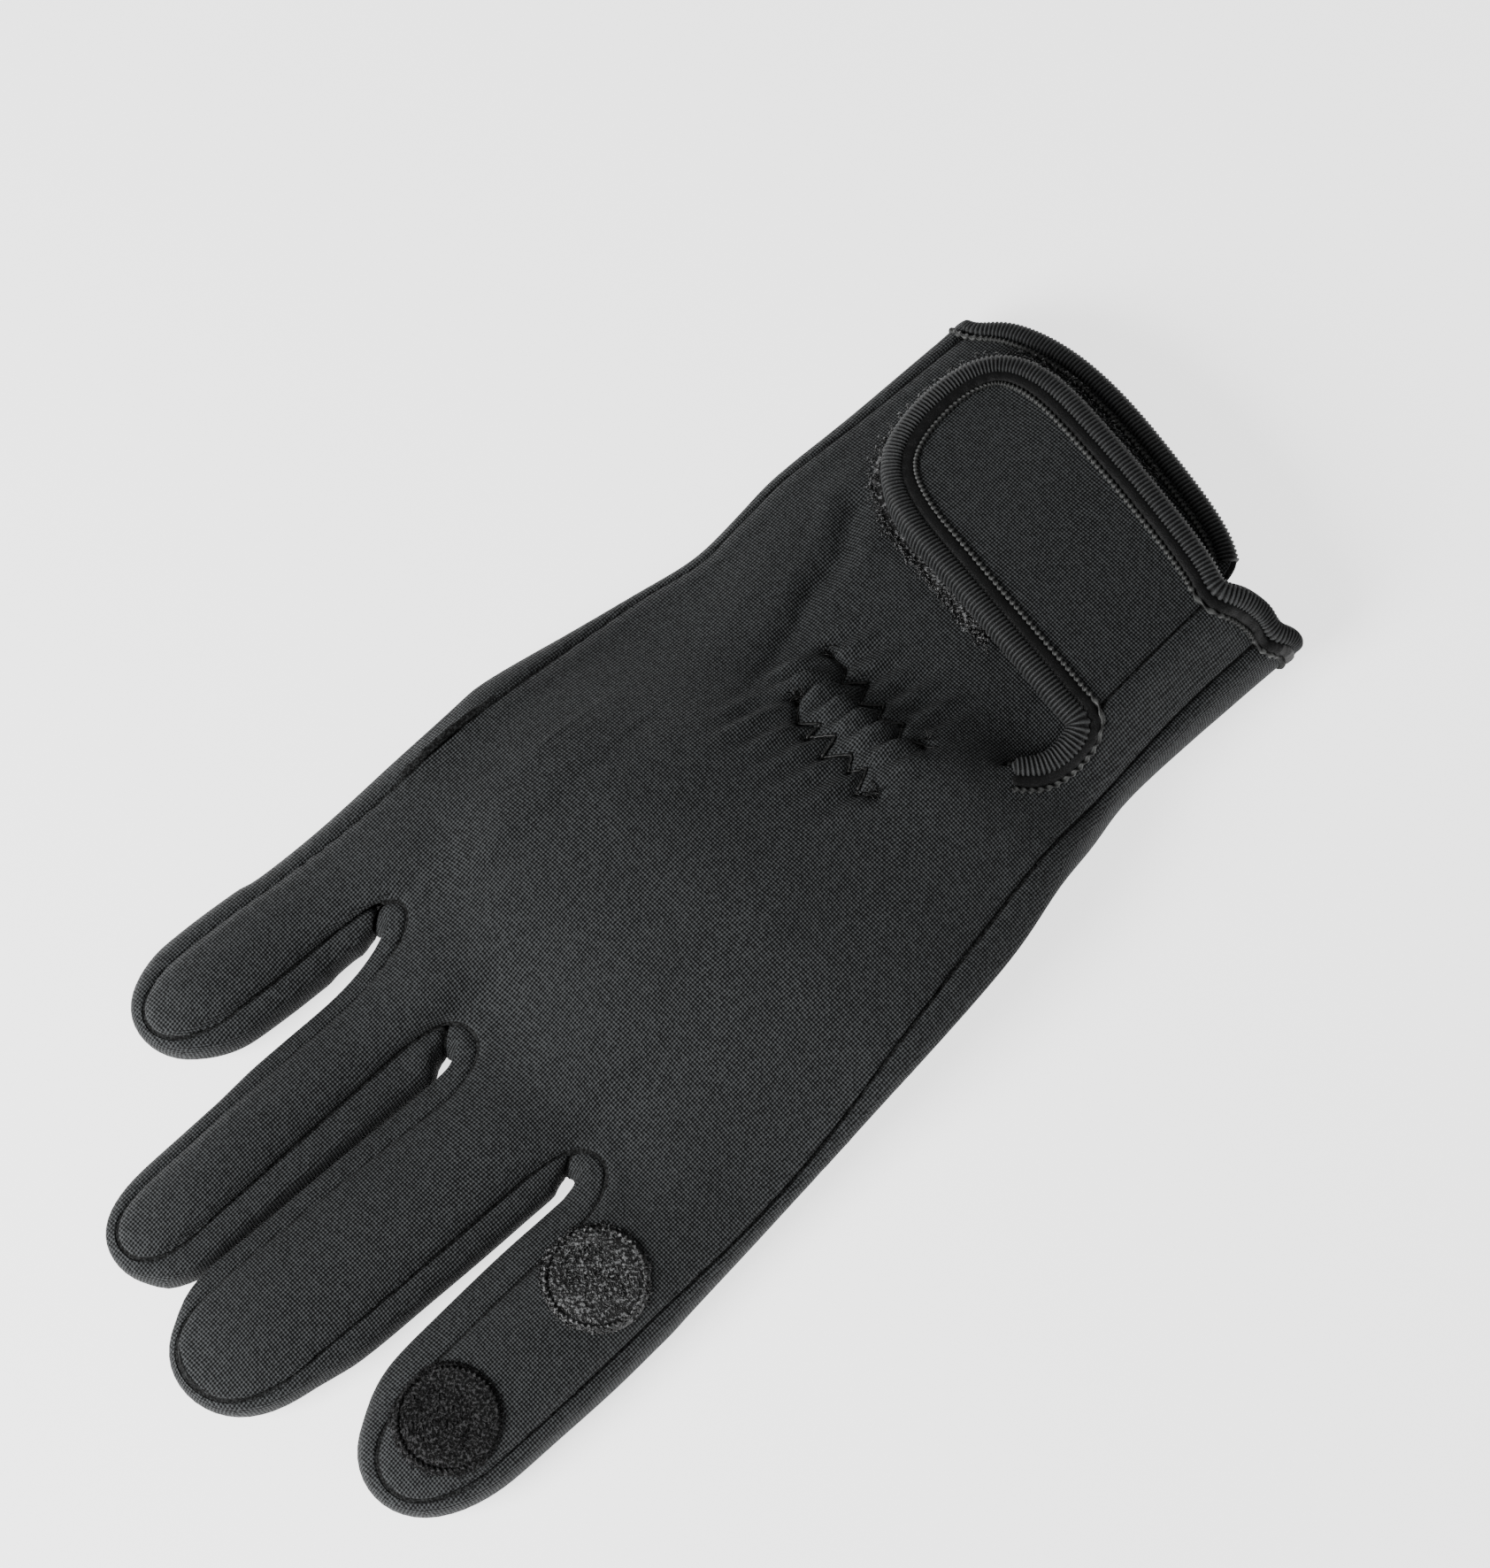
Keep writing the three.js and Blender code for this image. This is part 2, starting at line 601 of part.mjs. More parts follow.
// Hand and finger panels of the back or the palm
const hand = { back: [], palm: [] };
const fingers = { back: [], palm: [] };
for (let i = 0; i < ROWS.length; i += 1) {
  const main = pinAll(backRow(i, 'main'));
  const strip = pinAll(backRow(i, 'strip'));
  hand.back.push({ main, strip });
  hand.palm.push(pinAll(palmRow(i)));
}
for (const kind of ['back', 'palm']) {
  for (const finger of FINGERS) {
    const rows = [];
    for (let i = 0; i <= FINGER_ROWS; i += 1) {
      rows.push(pinAll(FINGER_SHARES.map((s) => {
        const [x, y] = fingerPoint(finger, kind, s, i / FINGER_ROWS);
        return [x, y, heightOf[kind](x, y)];
      })));
    }
    fingers[kind].push(rows);
  }
}

const back = skin.sheet('back_panel');
skin.grid(back, hand.back.map((row) => row.main), true);
skin.grid(back, hand.back.map((row) => row.strip), true);
fingers.back.forEach((rows) => skin.grid(back, rows, true));

const indexFinger = FINGERS[FINGERS.length - 1];
const slitAlong = indexFinger.tipY * GLOVE_LENGTH - SLIT_FROM_TIP;
const palm = skin.sheet('palm_panel');
const indexTip = skin.sheet('index_tip_palm_panel');
skin.grid(palm, hand.palm);
fingers.palm.forEach((rows, k) => {
  const isIndex = FINGERS[k] === indexFinger;
  const slitRow = rows.findIndex((row) => skin.points[row[0]].y > slitAlong);
  skin.grid(palm, rows, false, (i) => !isIndex || i < slitRow - 1);
  if (isIndex) skin.grid(indexTip, rows, false, (i) => i > slitRow - 1);
});

// Outline stations from the little finger's cuff corner round all fingers to the index cuff corner
function outline() {
  const stations = [];
  const push = (backId, edge, palmId, group) => stations.push({ backId, edge, palmId, group });
  const sideEdge = (side, i) => {
    const backId = side === 'pinky' ? hand.back[i].main[0] : hand.back[i].strip[STRIP_COLUMNS];
    const palmId = hand.palm[i][side === 'pinky' ? 0 : COLUMNS];
    const y = mix(skin.points[backId].y, skin.points[palmId].y, 0.5);
    return { backId, palmId, edge: [sideX(side, 'edge', y), y] };
  };
  const lastRow = ROWS.length - 1;
  for (let i = 0; i < lastRow; i += 1) {
    const { backId, palmId, edge } = sideEdge('pinky', i);
    push(backId, edge, palmId, 'pinky');
  }
  FINGERS.forEach((finger, k) => {
    const place = (i, j) => {
      const edge = fingerPoint(finger, 'edge', FINGER_SHARES[j], i / FINGER_ROWS);
      push(fingers.back[k][i][j], edge, fingers.palm[k][i][j], finger.name);
    };
    for (let i = 0; i < FINGER_ROWS; i += 1) place(i, 0);
    for (let j = 0; j < FINGER_COLUMNS; j += 1) place(FINGER_ROWS, j);
    for (let i = FINGER_ROWS; i > 0; i -= 1) place(i, FINGER_COLUMNS);
    if (k + 1 === FINGERS.length) {
      place(0, FINGER_COLUMNS);
      return;
    }
    place(0, FINGER_COLUMNS);
    const column = (k + 1) * FINGER_COLUMNS + k * FORK_COLUMNS;
    for (let j = 1; j < FORK_COLUMNS; j += 1) {
      const frontBack = [...hand.back[lastRow].main, ...hand.back[lastRow].strip.slice(1)];
      const group = j < FORK_COLUMNS / 2 ? finger.name : FINGERS[k + 1].name;
      const edge = forkPoint(k, 'edge', j / FORK_COLUMNS);
      push(frontBack[column + j], edge, hand.palm[lastRow][column + j], group);
    }
  });
  for (let i = lastRow - 1; i >= 0; i -= 1) {
    const { backId, palmId, edge } = sideEdge('index', i);
    push(backId, edge, palmId, 'index');
  }
  return stations;
}

// Section of the side strip from the back seam over the silhouette to the palm seam
function stripColumn({ backId, edge, palmId }) {
  const top = skin.points[backId];
  const bottom = skin.points[palmId];
  const middle = mix(bottom.z, top.z, 0.5);
  const column = [backId];
  for (let k = 1; k <= STRIP_TOP; k += 1) {
    const turn = (Math.PI / 2) * (k / STRIP_TOP);
    column.push(skin.pin(
      mix(top.x, edge[0], Math.sin(turn)),
      mix(top.y, edge[1], Math.sin(turn)),
      mix(middle, top.z, Math.cos(turn)),
    ));
  }
  for (let k = 1; k < STRIP_BOTTOM; k += 1) {
    const turn = (Math.PI / 2) * (k / STRIP_BOTTOM);
    column.push(skin.pin(
      mix(edge[0], bottom.x, 1 - Math.cos(turn)),
      mix(edge[1], bottom.y, 1 - Math.cos(turn)),
      mix(middle, bottom.z, Math.sin(turn)),
    ));
  }
  column.push(palmId);
  return column;
}

const stations = outline();
const columns = stations.map(stripColumn);
FINGERS.forEach((finger) => {
  const strip = skin.sheet(`gusset_${finger.name}`);
  skin.grid(strip, columns, false, (i) => {
    const group = stations[i + 1].group === finger.name || stations[i].group === finger.name;
    const own = stations[i].group === finger.name ? i : i + 1;
    return group && stations[own].group === finger.name && ownerOf(i) === finger.name;
  });
});
function ownerOf(i) {
  return stations[i].group === stations[i + 1].group ? stations[i].group : stations[i + 1].group;
}

skin.finish(WALL);

// Thumb: a boat-shaped back on the floor and a front sheet under the palm
const thumbSkin = new Skin();
const THUMB_COLUMNS = 6;
const THUMB_ROWS = 9;
const THUMB_SHARES = Array.from({ length: THUMB_COLUMNS + 1 }, (_, j) => (
  Math.sin(Math.PI * (0.5 - j / THUMB_COLUMNS))
));
const THUMB_SEAM_INSET = 4;
const THUMB_FLOOR_INSET = 4.5;

// Place of a thumb point from its own axis to the glove's frame
function thumbPlace(q, p) {
  return [
    thumbOrigin.x + q * thumbAxis.x - p * thumbAxis.y,
    thumbOrigin.y + q * thumbAxis.y + p * thumbAxis.x,
  ];
}

function thumbEnd(s, inset, round) {
  return (round - inset) * Math.max(1 - Math.abs(s) ** TIP_FULLNESS, 0) ** (1 / TIP_FULLNESS);
}

// Points of a thumb outline: start share 0 at the heel, or at the hole's front for the front sheet
function thumbPoint(s, share, inset, open) {
  const tip = THUMB_LENGTH - THUMB_ROUND + thumbEnd(s, inset, THUMB_ROUND);
  const heel = open ? 0 : THUMB_ROUND - THUMB_HEEL - thumbEnd(s, inset, THUMB_ROUND);
  const q = mix(heel, tip, share);
  return { q, p: -(thumbHalf(q) - inset) * s };
}

// Height of the seam between the thumb's front and back, which climbs to the palm around the hole
function thumbRim(q) {
  const low = THUMB_FLOOR + THUMB_THICKNESS * 0.72;
  return mix(THUMB_TOP, low, smooth((q - 2) / 20));
}

const OPEN_ROW = 4;
const thumbFloorRows = [];
const thumbTopRows = [];
for (let i = 0; i <= THUMB_ROWS; i += 1) {
  const share = i / THUMB_ROWS;
  thumbFloorRows.push(THUMB_SHARES.map((s) => {
    const { q, p } = thumbPoint(s, share, THUMB_FLOOR_INSET, false);
    return thumbSkin.pin(...thumbPlace(q, p), THUMB_FLOOR);
  }));
}
const rimInset = (q) => mix(1.5, THUMB_SEAM_INSET, smooth((q - 2) / 20));
function thumbTopPoint(s, share) {
  const guess = thumbPoint(s, share, THUMB_SEAM_INSET, false);
  const { q, p } = thumbPoint(s, share, rimInset(guess.q), false);
  const end = clamp01((q - (THUMB_LENGTH - THUMB_ROUND)) / (thumbEnd(s, THUMB_SEAM_INSET, THUMB_ROUND) + 0.01));
  const crown = (THUMB_TOP - thumbRim(q)) * (1 - Math.abs(s) ** EDGE_FULLNESS) * (1 - end ** EDGE_FULLNESS);
  return thumbSkin.pin(...thumbPlace(q, p), thumbRim(q) + crown);
}
for (let i = 0; i <= THUMB_ROWS; i += 1) {
  thumbTopRows.push(THUMB_SHARES.map((s) => thumbTopPoint(s, i / THUMB_ROWS)));
}

// Ring of a grid's border, starting at its first corner
function border(rows) {
  const last = rows.length - 1;
  const wide = rows[0].length - 1;
  const ring = [];
  for (let i = 0; i < last; i += 1) ring.push([i, 0]);
  for (let j = 0; j < wide; j += 1) ring.push([last, j]);
  for (let i = last; i > 0; i -= 1) ring.push([i, wide]);
  for (let j = wide; j > 0; j -= 1) ring.push([0, j]);
  return ring;
}

const thumbBack = thumbSkin.sheet('thumb_back');
const thumbFront = thumbSkin.sheet('thumb_front');
thumbSkin.grid(thumbBack, thumbFloorRows, false);
thumbSkin.grid(thumbFront, thumbTopRows, true, (i) => i >= OPEN_ROW);
const thumbRing = border(thumbFloorRows).map(([i, j]) => {
  const s = THUMB_SHARES[j];
  const { q, p } = thumbPoint(s, i / THUMB_ROWS, 0, false);
  const [x, y] = thumbPlace(q, p);
  const low = thumbFloorRows[i][j];
  const high = thumbTopRows[i][j];
  const rim = thumbSkin.points[high].z;
  const middle = mix(THUMB_FLOOR, rim, 0.45);
  const lower = thumbSkin.points[low].clone().lerp(new THREE.Vector3(x, y, middle), 0.72);
  lower.z = mix(THUMB_FLOOR, middle, 0.3);
  const upper = new THREE.Vector3(x, y, middle).lerp(thumbSkin.points[high], 0.3);
  upper.z = mix(middle, rim, 0.7);
  return [
    low,
    thumbSkin.pin(...lower.toArray()),
    thumbSkin.pin(x, y, middle),
    thumbSkin.pin(...upper.toArray()),
    high,
  ];
});
thumbSkin.grid(thumbBack, [...thumbRing, thumbRing[0]], true);
thumbSkin.finish(WALL);

// Solids joined or cut as closed bodies
function toBody(geometry) {
  return new wasm.Manifold(new wasm.Mesh({
    numProp: 3,
    vertProperties: new Float32Array(geometry.getAttribute('position').array),
    triVerts: new Uint32Array(geometry.getIndex().array),
  }));
}

function fromBody(body) {
  const { vertProperties, triVerts } = body.getMesh();
  const geometry = new THREE.BufferGeometry();
  geometry.setAttribute('position', new THREE.Float32BufferAttribute(vertProperties, 3));
  geometry.setIndex(Array.from(triVerts));
  return geometry;
}

// Hole in the palm over the thumb's heel, inside the thumb's wall
function thumbHole() {
  const inset = rimInset(0) + WALL + SEAM_GAP;
  const shape = new THREE.Shape();
  const steps = 14;
  const front = THUMB_HOLE_LENGTH + THUMB_ROUND - THUMB_HEEL - WALL;
  const ring = [];
  for (let k = 0; k <= steps; k += 1) {
    const s = Math.sin(Math.PI * (k / steps - 0.5));
    const q = THUMB_ROUND - THUMB_HEEL - thumbEnd(s, inset, THUMB_ROUND);
    ring.push(thumbPlace(q, (thumbHalf(q) - inset) * s));
  }
  ring.push(thumbPlace(front, thumbHalf(front) - inset));
  ring.push(thumbPlace(front, inset - thumbHalf(front)));
  ring.forEach(([x, y], k) => (k === 0 ? shape.moveTo(x, y) : shape.lineTo(x, y)));
  const geometry = new THREE.ExtrudeGeometry(shape, { depth: GLOVE_HEIGHT * 2, bevelEnabled: false });
  geometry.deleteAttribute('normal');
  geometry.deleteAttribute('uv');
  const builder = new Builder();
  const place = geometry.getAttribute('position');
  const at = (k) => new THREE.Vector3().fromBufferAttribute(place, k);
  for (let k = 0; k < place.count; k += 3) builder.triangle(at(k), at(k + 1), at(k + 2));
  return builder.geometry();
}

// Wrist tab over the back, with columns from its finger side to its cuff side
const TAB_COLUMNS = 6;
const TAB_ROWS = 7;
const TAB_SHARES = Array.from({ length: TAB_COLUMNS + 1 }, (_, j) => (
  Math.sin(Math.PI * (0.5 - j / TAB_COLUMNS))
));
function tabPoint(s, share, outset, height) {
  const round = TAB_ROUND * Math.max(1 - Math.abs(s) ** EDGE_FULLNESS, 0) ** (1 / EDGE_FULLNESS);
  const along = share * (TAB_LENGTH - TAB_ROUND + round + outset);
  const t = along / TAB_LENGTH;
  const half = mix(mix(TAB_BASE_HALF, TAB_MIDDLE_HALF, t), mix(TAB_MIDDLE_HALF, TAB_END_HALF, t), t) + outset;
  const y = TAB_BASE_ALONG - TAB_SLANT * t + half * s;
  return onBack(slitX(y) - SLIT_HALF + SEAM_GAP + along, y, height);
}

const tabSkin = new Skin();
const tab = tabSkin.sheet('wrist_strap');
const tabRows = [];
for (let i = 0; i <= TAB_ROWS; i += 1) {
  tabRows.push(TAB_SHARES.map((s) => (
    tabSkin.pin(...tabPoint(s, i / TAB_ROWS, 0, STACK).toArray())
  )));
}
tabSkin.grid(tab, tabRows);

// The tab's base follows the sewn edge of the strip
function stripEdge(y) {
  const ids = hand.back.map((row) => row.strip[0]);
  const k = Math.max(ids.findIndex((id) => skin.points[id].y >= y), 1);
  const f = (y - skin.points[ids[k - 1]].y) / (skin.points[ids[k]].y - skin.points[ids[k - 1]].y);
  return [skin.points, skin.inner].map((points) => points[ids[k - 1]].clone().lerp(points[ids[k]], f));
}
const tabBase = tabRows[0].map((id) => stripEdge(tabSkin.points[id].y));
tabBase.forEach(([outer], j) => tabSkin.points[tabRows[0][j]].set(outer.x + SEAM_GAP, outer.y, outer.z));
tabSkin.finish(WALL);
tabBase.forEach(([, inner], j) => tabSkin.inner[tabRows[0][j]].set(inner.x + SEAM_GAP, inner.y, inner.z));

// Closed sheet between two like grids of points, the outer one first
function slab(outer, inner) {
  const builder = new Builder();
  const rim = new Map();
  const edge = (a, b) => {
    const back = `${b} ${a}`;
    if (rim.has(back)) rim.delete(back);
    else rim.set(`${a} ${b}`, [a, b]);
  };
  const wide = outer[0].length;
  const at = (grid, id) => grid[Math.floor(id / wide)][id % wide];
  for (let i = 0; i + 1 < outer.length; i += 1) {
    for (let j = 0; j + 1 < wide; j += 1) {
      const quad = [i * wide + j, i * wide + j + 1, (i + 1) * wide + j + 1, (i + 1) * wide + j];
      builder.polygon(quad.map((id) => at(outer, id)));
      const [a, b, c, d] = quad.map((id) => at(inner, id));
      builder.triangle(a, c, b);
      builder.triangle(a, d, c);
      quad.forEach((id, k) => edge(id, quad[(k + 1) % 4]));
    }
  }
  for (const [a, b] of rim.values()) builder.polygon([at(outer, b), at(outer, a), at(inner, a), at(inner, b)]);
  return builder.geometry();
}

// Tape channel round a cut edge; each station has the edge's outer and inner points and the way inward
function station(source, id, aheadId) {
  const outer = source.points[id];
  const inner = source.inner[id];
  return {
    outer,
    inner,
    outerWay: source.points[aheadId].clone().sub(outer).normalize(),
    innerWay: source.inner[aheadId].clone().sub(inner).normalize(),
    room: source.points[aheadId].distanceTo(outer),
  };
}

function between(a, b, share) {
  const blend = (name) => a[name].clone().lerp(b[name], share);
  return {
    outer: blend('outer'),
    inner: blend('inner'),
    outerWay: blend('outerWay').normalize(),
    innerWay: blend('innerWay').normalize(),
    room: Math.min(a.room, b.room),
  };
}

// Station at a corner where two edges meet, with its way inward between theirs
function mitre(a, b) {
  const blend = (name) => a[name].clone().add(b[name]).normalize().multiplyScalar(Math.SQRT2);
  return { ...a, outerWay: blend('outerWay'), innerWay: blend('innerWay'), room: Math.min(a.room, b.room) };
}

function binding(path, fullWidth) {
  const sections = path.map(({ outer, inner, outerWay, innerWay, room }) => {
    const width = Math.min(fullWidth, room);
    const up = outer.clone().sub(inner).normalize();
    const at = (base, way, inward, rise) => (
      base.clone().addScaledVector(way, inward).addScaledVector(up, rise)
    );
    const side = SEAM_GAP + BINDING_TAPE;
    const full = BINDING_GAP + BINDING_TAPE;
    return [
      at(outer, outerWay, width, BINDING_GAP),
      at(outer, outerWay, -SEAM_GAP, BINDING_GAP),
      at(inner, innerWay, -SEAM_GAP, -BINDING_GAP),
      at(inner, innerWay, width, -BINDING_GAP),
      at(inner, innerWay, width, -full),
      at(inner, innerWay, -side, -full),
      at(outer, outerWay, -side, full),
      at(outer, outerWay, width, full),
    ];
  });
  const builder = new Builder();
  const corners = sections[0].length;
  for (let i = 0; i + 1 < sections.length; i += 1) {
    for (let k = 0; k < corners; k += 1) {
      const next = (k + 1) % corners;
      const [here, there] = [sections[i], sections[i + 1]];
      builder.polygon([there[k], there[next], here[next], here[k]]);
    }
  }
  const cap = (section, flip) => {
    for (let k = 0; k < 3; k += 1) {
      const quad = [section[k], section[k + 1], section[6 - k], section[7 - k]];
      builder.polygon(flip ? quad.reverse() : quad);
    }
  };
  cap(sections[0], false);
  cap(sections[sections.length - 1], true);
  return builder.geometry();
}

// Cut edge of the cuff, from the slit round the little finger's side and the palm to the index side
function cuffPath() {
  const path = [];
  for (let j = SLIT_COLUMN; j > 0; j -= j > 9 ? 2 : 1) {
    path.push(station(skin, hand.back[0].main[j], hand.back[1].main[j]));
  }
  columns[0].forEach((id, k) => path.push(station(skin, id, columns[1][k])));
  for (let j = 2; j < COLUMNS; j += 2) path.push(station(skin, hand.palm[0][j], hand.palm[1][j]));
  const last = columns.length - 1;
  const side = columns[last].map((id, k) => station(skin, id, columns[last - 1][k])).reverse();
  path.push(...side.slice(0, -1), between(side[side.length - 2], side[side.length - 1], 0.8));
  return path;
}

// Edge of the strip's cuff, the tab and the end of the slit
function strapPath() {
  const path = [];
  for (let j = STRIP_COLUMNS; j >= 0; j -= 1) {
    path.push(station(skin, hand.back[0].strip[j], hand.back[1].strip[j]));
  }
  const edge = border(tabRows).reverse();
  const tabStation = ([i, j]) => {
    const own = tabRows[i][j];
    if (i === TAB_ROWS && j > 0 && j < TAB_COLUMNS) return station(tabSkin, own, tabRows[i - 1][j]);
    const near = j === 0 ? 1 : TAB_COLUMNS - 1;
    const far = j === 0 ? 2 : TAB_COLUMNS - 2;
    const row = i === TAB_ROWS ? i - 1 : i;
    const outward = station(tabSkin, own, tabRows[row][near]);
    const inward = station(tabSkin, own, tabRows[row][far]);
    return { ...outward, innerWay: inward.innerWay, room: inward.room };
  };
  const start = edge.findIndex(([i, j]) => i === 0 && j === TAB_COLUMNS);
  const ring = [...edge.slice(start), ...edge.slice(0, start)];
  ring.filter(([i]) => i > 0).forEach((place) => path.push(tabStation(place)));
  const beyond = TAB_BASE_ALONG + TAB_BASE_HALF - 1;
  const corner = hand.back.findIndex((row) => skin.points[row.strip[0]].y > beyond);
  const strip = (i) => station(skin, hand.back[i].strip[0], hand.back[i].strip[1]);
  path.push(between(path[path.length - 1], tabStation([0, 0]), 0.75));
  path.push({ ...mitre(tabStation([0, 0]), strip(corner)), room: 2.0 });
  for (let i = corner + 1; i < SLIT_TOP_ROW; i += 1) path.push(strip(i));
  path.push(between(path[path.length - 1], strip(SLIT_TOP_ROW), 0.2));
  return path;
}

// Round patch on any surface given by a function of place and height
function disc(name, centre, surface, low, high, finish) {
  const rings = [0, 0.55, 1];
  const steps = 20;
  const layer = (height) => rings.map((share) => (
    Array.from({ length: steps + 1 }, (_, k) => {
      const turn = (2 * Math.PI * (k % steps)) / steps;
      const reach = DISC_RADIUS * share;
      return surface(centre[0] + reach * Math.cos(turn), centre[1] + reach * Math.sin(turn), height);
    })
  ));
  const builder = new Builder();
  const [top, bottom] = [layer(high), layer(low)];
  for (let i = 0; i + 1 < rings.length; i += 1) {
    for (let k = 0; k < steps; k += 1) {
      builder.polygon([top[i][k], top[i + 1][k], top[i + 1][k + 1], top[i][k + 1]]);
      builder.polygon([bottom[i][k + 1], bottom[i + 1][k + 1], bottom[i + 1][k], bottom[i][k]]);
    }
  }
  const outer = rings.length - 1;
  for (let k = 0; k < steps; k += 1) {
    builder.polygon([bottom[outer][k], bottom[outer][k + 1], top[outer][k + 1], top[outer][k]]);
  }
  addPiece(name, builder.geometry(), finish);
}

for (const sheet of skin.sheets) {
  const grip = sheet === palm || sheet === indexTip;
  let geometry = skin.solid(sheet);
  if (sheet === palm) geometry = fromBody(toBody(geometry).subtract(toBody(thumbHole())));
  addPiece(sheet.name, geometry, grip ? 'palm_grip' : 'neoprene');
}
for (const sheet of thumbSkin.sheets) addPiece(sheet.name, thumbSkin.solid(sheet), 'neoprene');

addPiece('wrist_strap', tabSkin.solid(tab), 'neoprene');
addPiece('strap_binding', binding(strapPath(), STRAP_BINDING_WIDTH), 'binding');
addPiece('cuff_binding', binding(cuffPath(), CUFF_BINDING_WIDTH), 'binding');

// Hook tape under the tab's end, a little larger than the tab, and loop tape on the back below it
const hookLow = 2 * SEAM_GAP + TAPE;
const hookLayer = (height) => {
  const rows = [];
  for (let i = 0; i <= 4; i += 1) {
    const share = mix(HOOK_SHARE, 1, i / 4);
    rows.push(TAB_SHARES.map((s) => tabPoint(s, share, SEAM_GAP + BINDING_TAPE + HOOK_FRINGE, height)));
  }
  return rows;
};
addPiece('strap_hook_patch', slab(hookLayer(hookLow + TAPE), hookLayer(hookLow)), 'hook_tape');

const loopLayer = (height) => {
  const rows = [];
  for (let i = 0; i <= 6; i += 1) {
    const u = i / 3 - 1;
    rows.push(Array.from({ length: 6 }, (_, j) => {
      const v = 1 - j / 2.5;
      const cut = (LOOP_SIZE.corner / LOOP_SIZE.along) * Math.abs(u) ** 6;
      return onBack(
        LOOP_MIDDLE.across + (LOOP_SIZE.across / 2) * u * (1 - 0.04 * v ** 4),
        LOOP_MIDDLE.along + (LOOP_SIZE.along / 2) * v * (1 - cut),
        height,
      );
    }));
  }
  return rows;
};
addPiece('back_loop_patch', slab(loopLayer(SEAM_GAP + TAPE), loopLayer(SEAM_GAP)), 'loop_tape');

// Fold-back fingertip patches, and the same pair on the outside of the thumb
const fromTip = (distance) => {
  const y = indexFinger.tipY * GLOVE_LENGTH - distance;
  return [fingerSpan(indexFinger, 'edge', y).middle, y];
};
disc('index_hook_disc', fromTip(DISC_FROM_TIP.hook), onBack, SEAM_GAP, SEAM_GAP + TAPE, 'hook_tape');
disc('index_loop_disc', fromTip(DISC_FROM_TIP.loop), onBack, SEAM_GAP, SEAM_GAP + TAPE, 'loop_tape');
const onFloor = (x, y, height) => new THREE.Vector3(x, y, height);
disc('thumb_loop_disc', thumbPlace(THUMB_LENGTH - THUMB_DISC_FROM_TIP.loop, 0), onFloor, 0, TAPE, 'loop_tape');
disc('thumb_hook_disc', thumbPlace(THUMB_LENGTH - THUMB_DISC_FROM_TIP.hook, 0), onFloor, 0, TAPE, 'hook_tape');

// Two welts along the slit across the inside of the index finger
const indexRows = fingers.palm[FINGERS.length - 1];
const weltRow = indexRows.findIndex((row) => skin.points[row[0]].y > slitAlong) - 1;
const WELT_END = 0.05;
[-1, 1].forEach((side, k) => {
  const layer = (points) => {
    const [low, high] = [indexRows[weltRow], indexRows[weltRow + 1]].map((row) => {
      const line = row.map((id) => points[id].clone());
      const last = line.length - 1;
      line[0].lerpVectors(line[1], line[0], WELT_END);
      line[last].lerpVectors(line[last - 1], line[last], WELT_END);
      return line;
    });
    const band = high[2].y - low[2].y;
    const near = band / 2 + (side * WELT_GAP) / 2 + (side < 0 ? -WELT_WIDTH : 0);
    return [near, near + WELT_WIDTH].map((along) => (
      low.map((point, n) => point.clone().lerp(high[n], along / band))
    ));
  };
  addPiece(`index_slit_welt_${k + 1}`, slab(layer(skin.points), layer(skin.inner)), 'binding');
});

// Stand the glove on its base, centred over the origin
const box = new THREE.Box3().setFromObject(glove);
const middle = box.getCenter(new THREE.Vector3());
for (const mesh of glove.children) mesh.geometry.translate(-middle.x, -middle.y, -box.min.z);

export default glove;
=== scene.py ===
"""Fishing glove of knit-faced neoprene, lying palm down on a pale floor.

The numbers are in millimetres and become metres through MM, apart from the lamps and the floor.
"""
import math
import random

import bmesh
import bpy
import numpy as np
from mathutils import Euler, Matrix, Vector, bvhtree, kdtree, noise


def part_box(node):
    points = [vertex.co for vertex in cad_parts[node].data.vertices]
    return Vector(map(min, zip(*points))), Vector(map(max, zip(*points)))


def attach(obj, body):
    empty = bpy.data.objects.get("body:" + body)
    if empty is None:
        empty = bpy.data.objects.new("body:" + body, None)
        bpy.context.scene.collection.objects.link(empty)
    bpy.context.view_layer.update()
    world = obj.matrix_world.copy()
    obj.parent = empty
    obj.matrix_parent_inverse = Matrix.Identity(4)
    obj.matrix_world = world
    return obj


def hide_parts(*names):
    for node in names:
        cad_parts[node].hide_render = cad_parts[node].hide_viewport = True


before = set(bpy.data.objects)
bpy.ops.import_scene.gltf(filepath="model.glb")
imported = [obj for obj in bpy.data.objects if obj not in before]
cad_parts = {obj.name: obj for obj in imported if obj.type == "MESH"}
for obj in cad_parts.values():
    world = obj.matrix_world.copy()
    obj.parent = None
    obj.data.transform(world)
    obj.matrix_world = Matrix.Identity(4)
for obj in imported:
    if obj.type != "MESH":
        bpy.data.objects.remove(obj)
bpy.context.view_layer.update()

MM = 0.001
TURN = 2 * math.pi
UP = Vector((0, 0, 1))
random.seed(7)


def add_object(name, data):
    made = bpy.data.objects.new(name, data)
    bpy.context.scene.collection.objects.link(made)
    return made


# Camera over the little finger's side of the fingertips, with the cuff at the top right
LENS = 85
SENSOR_WIDTH = 36
CAMERA_DISTANCE = 715.2
CAMERA_ELEVATION = math.radians(70)
CAMERA_AIM = Vector((7.17, -26.3, 0))


def look_at(thing, aim):
    thing.rotation_euler = (aim - thing.location).to_track_quat("-Z", "Y").to_euler()


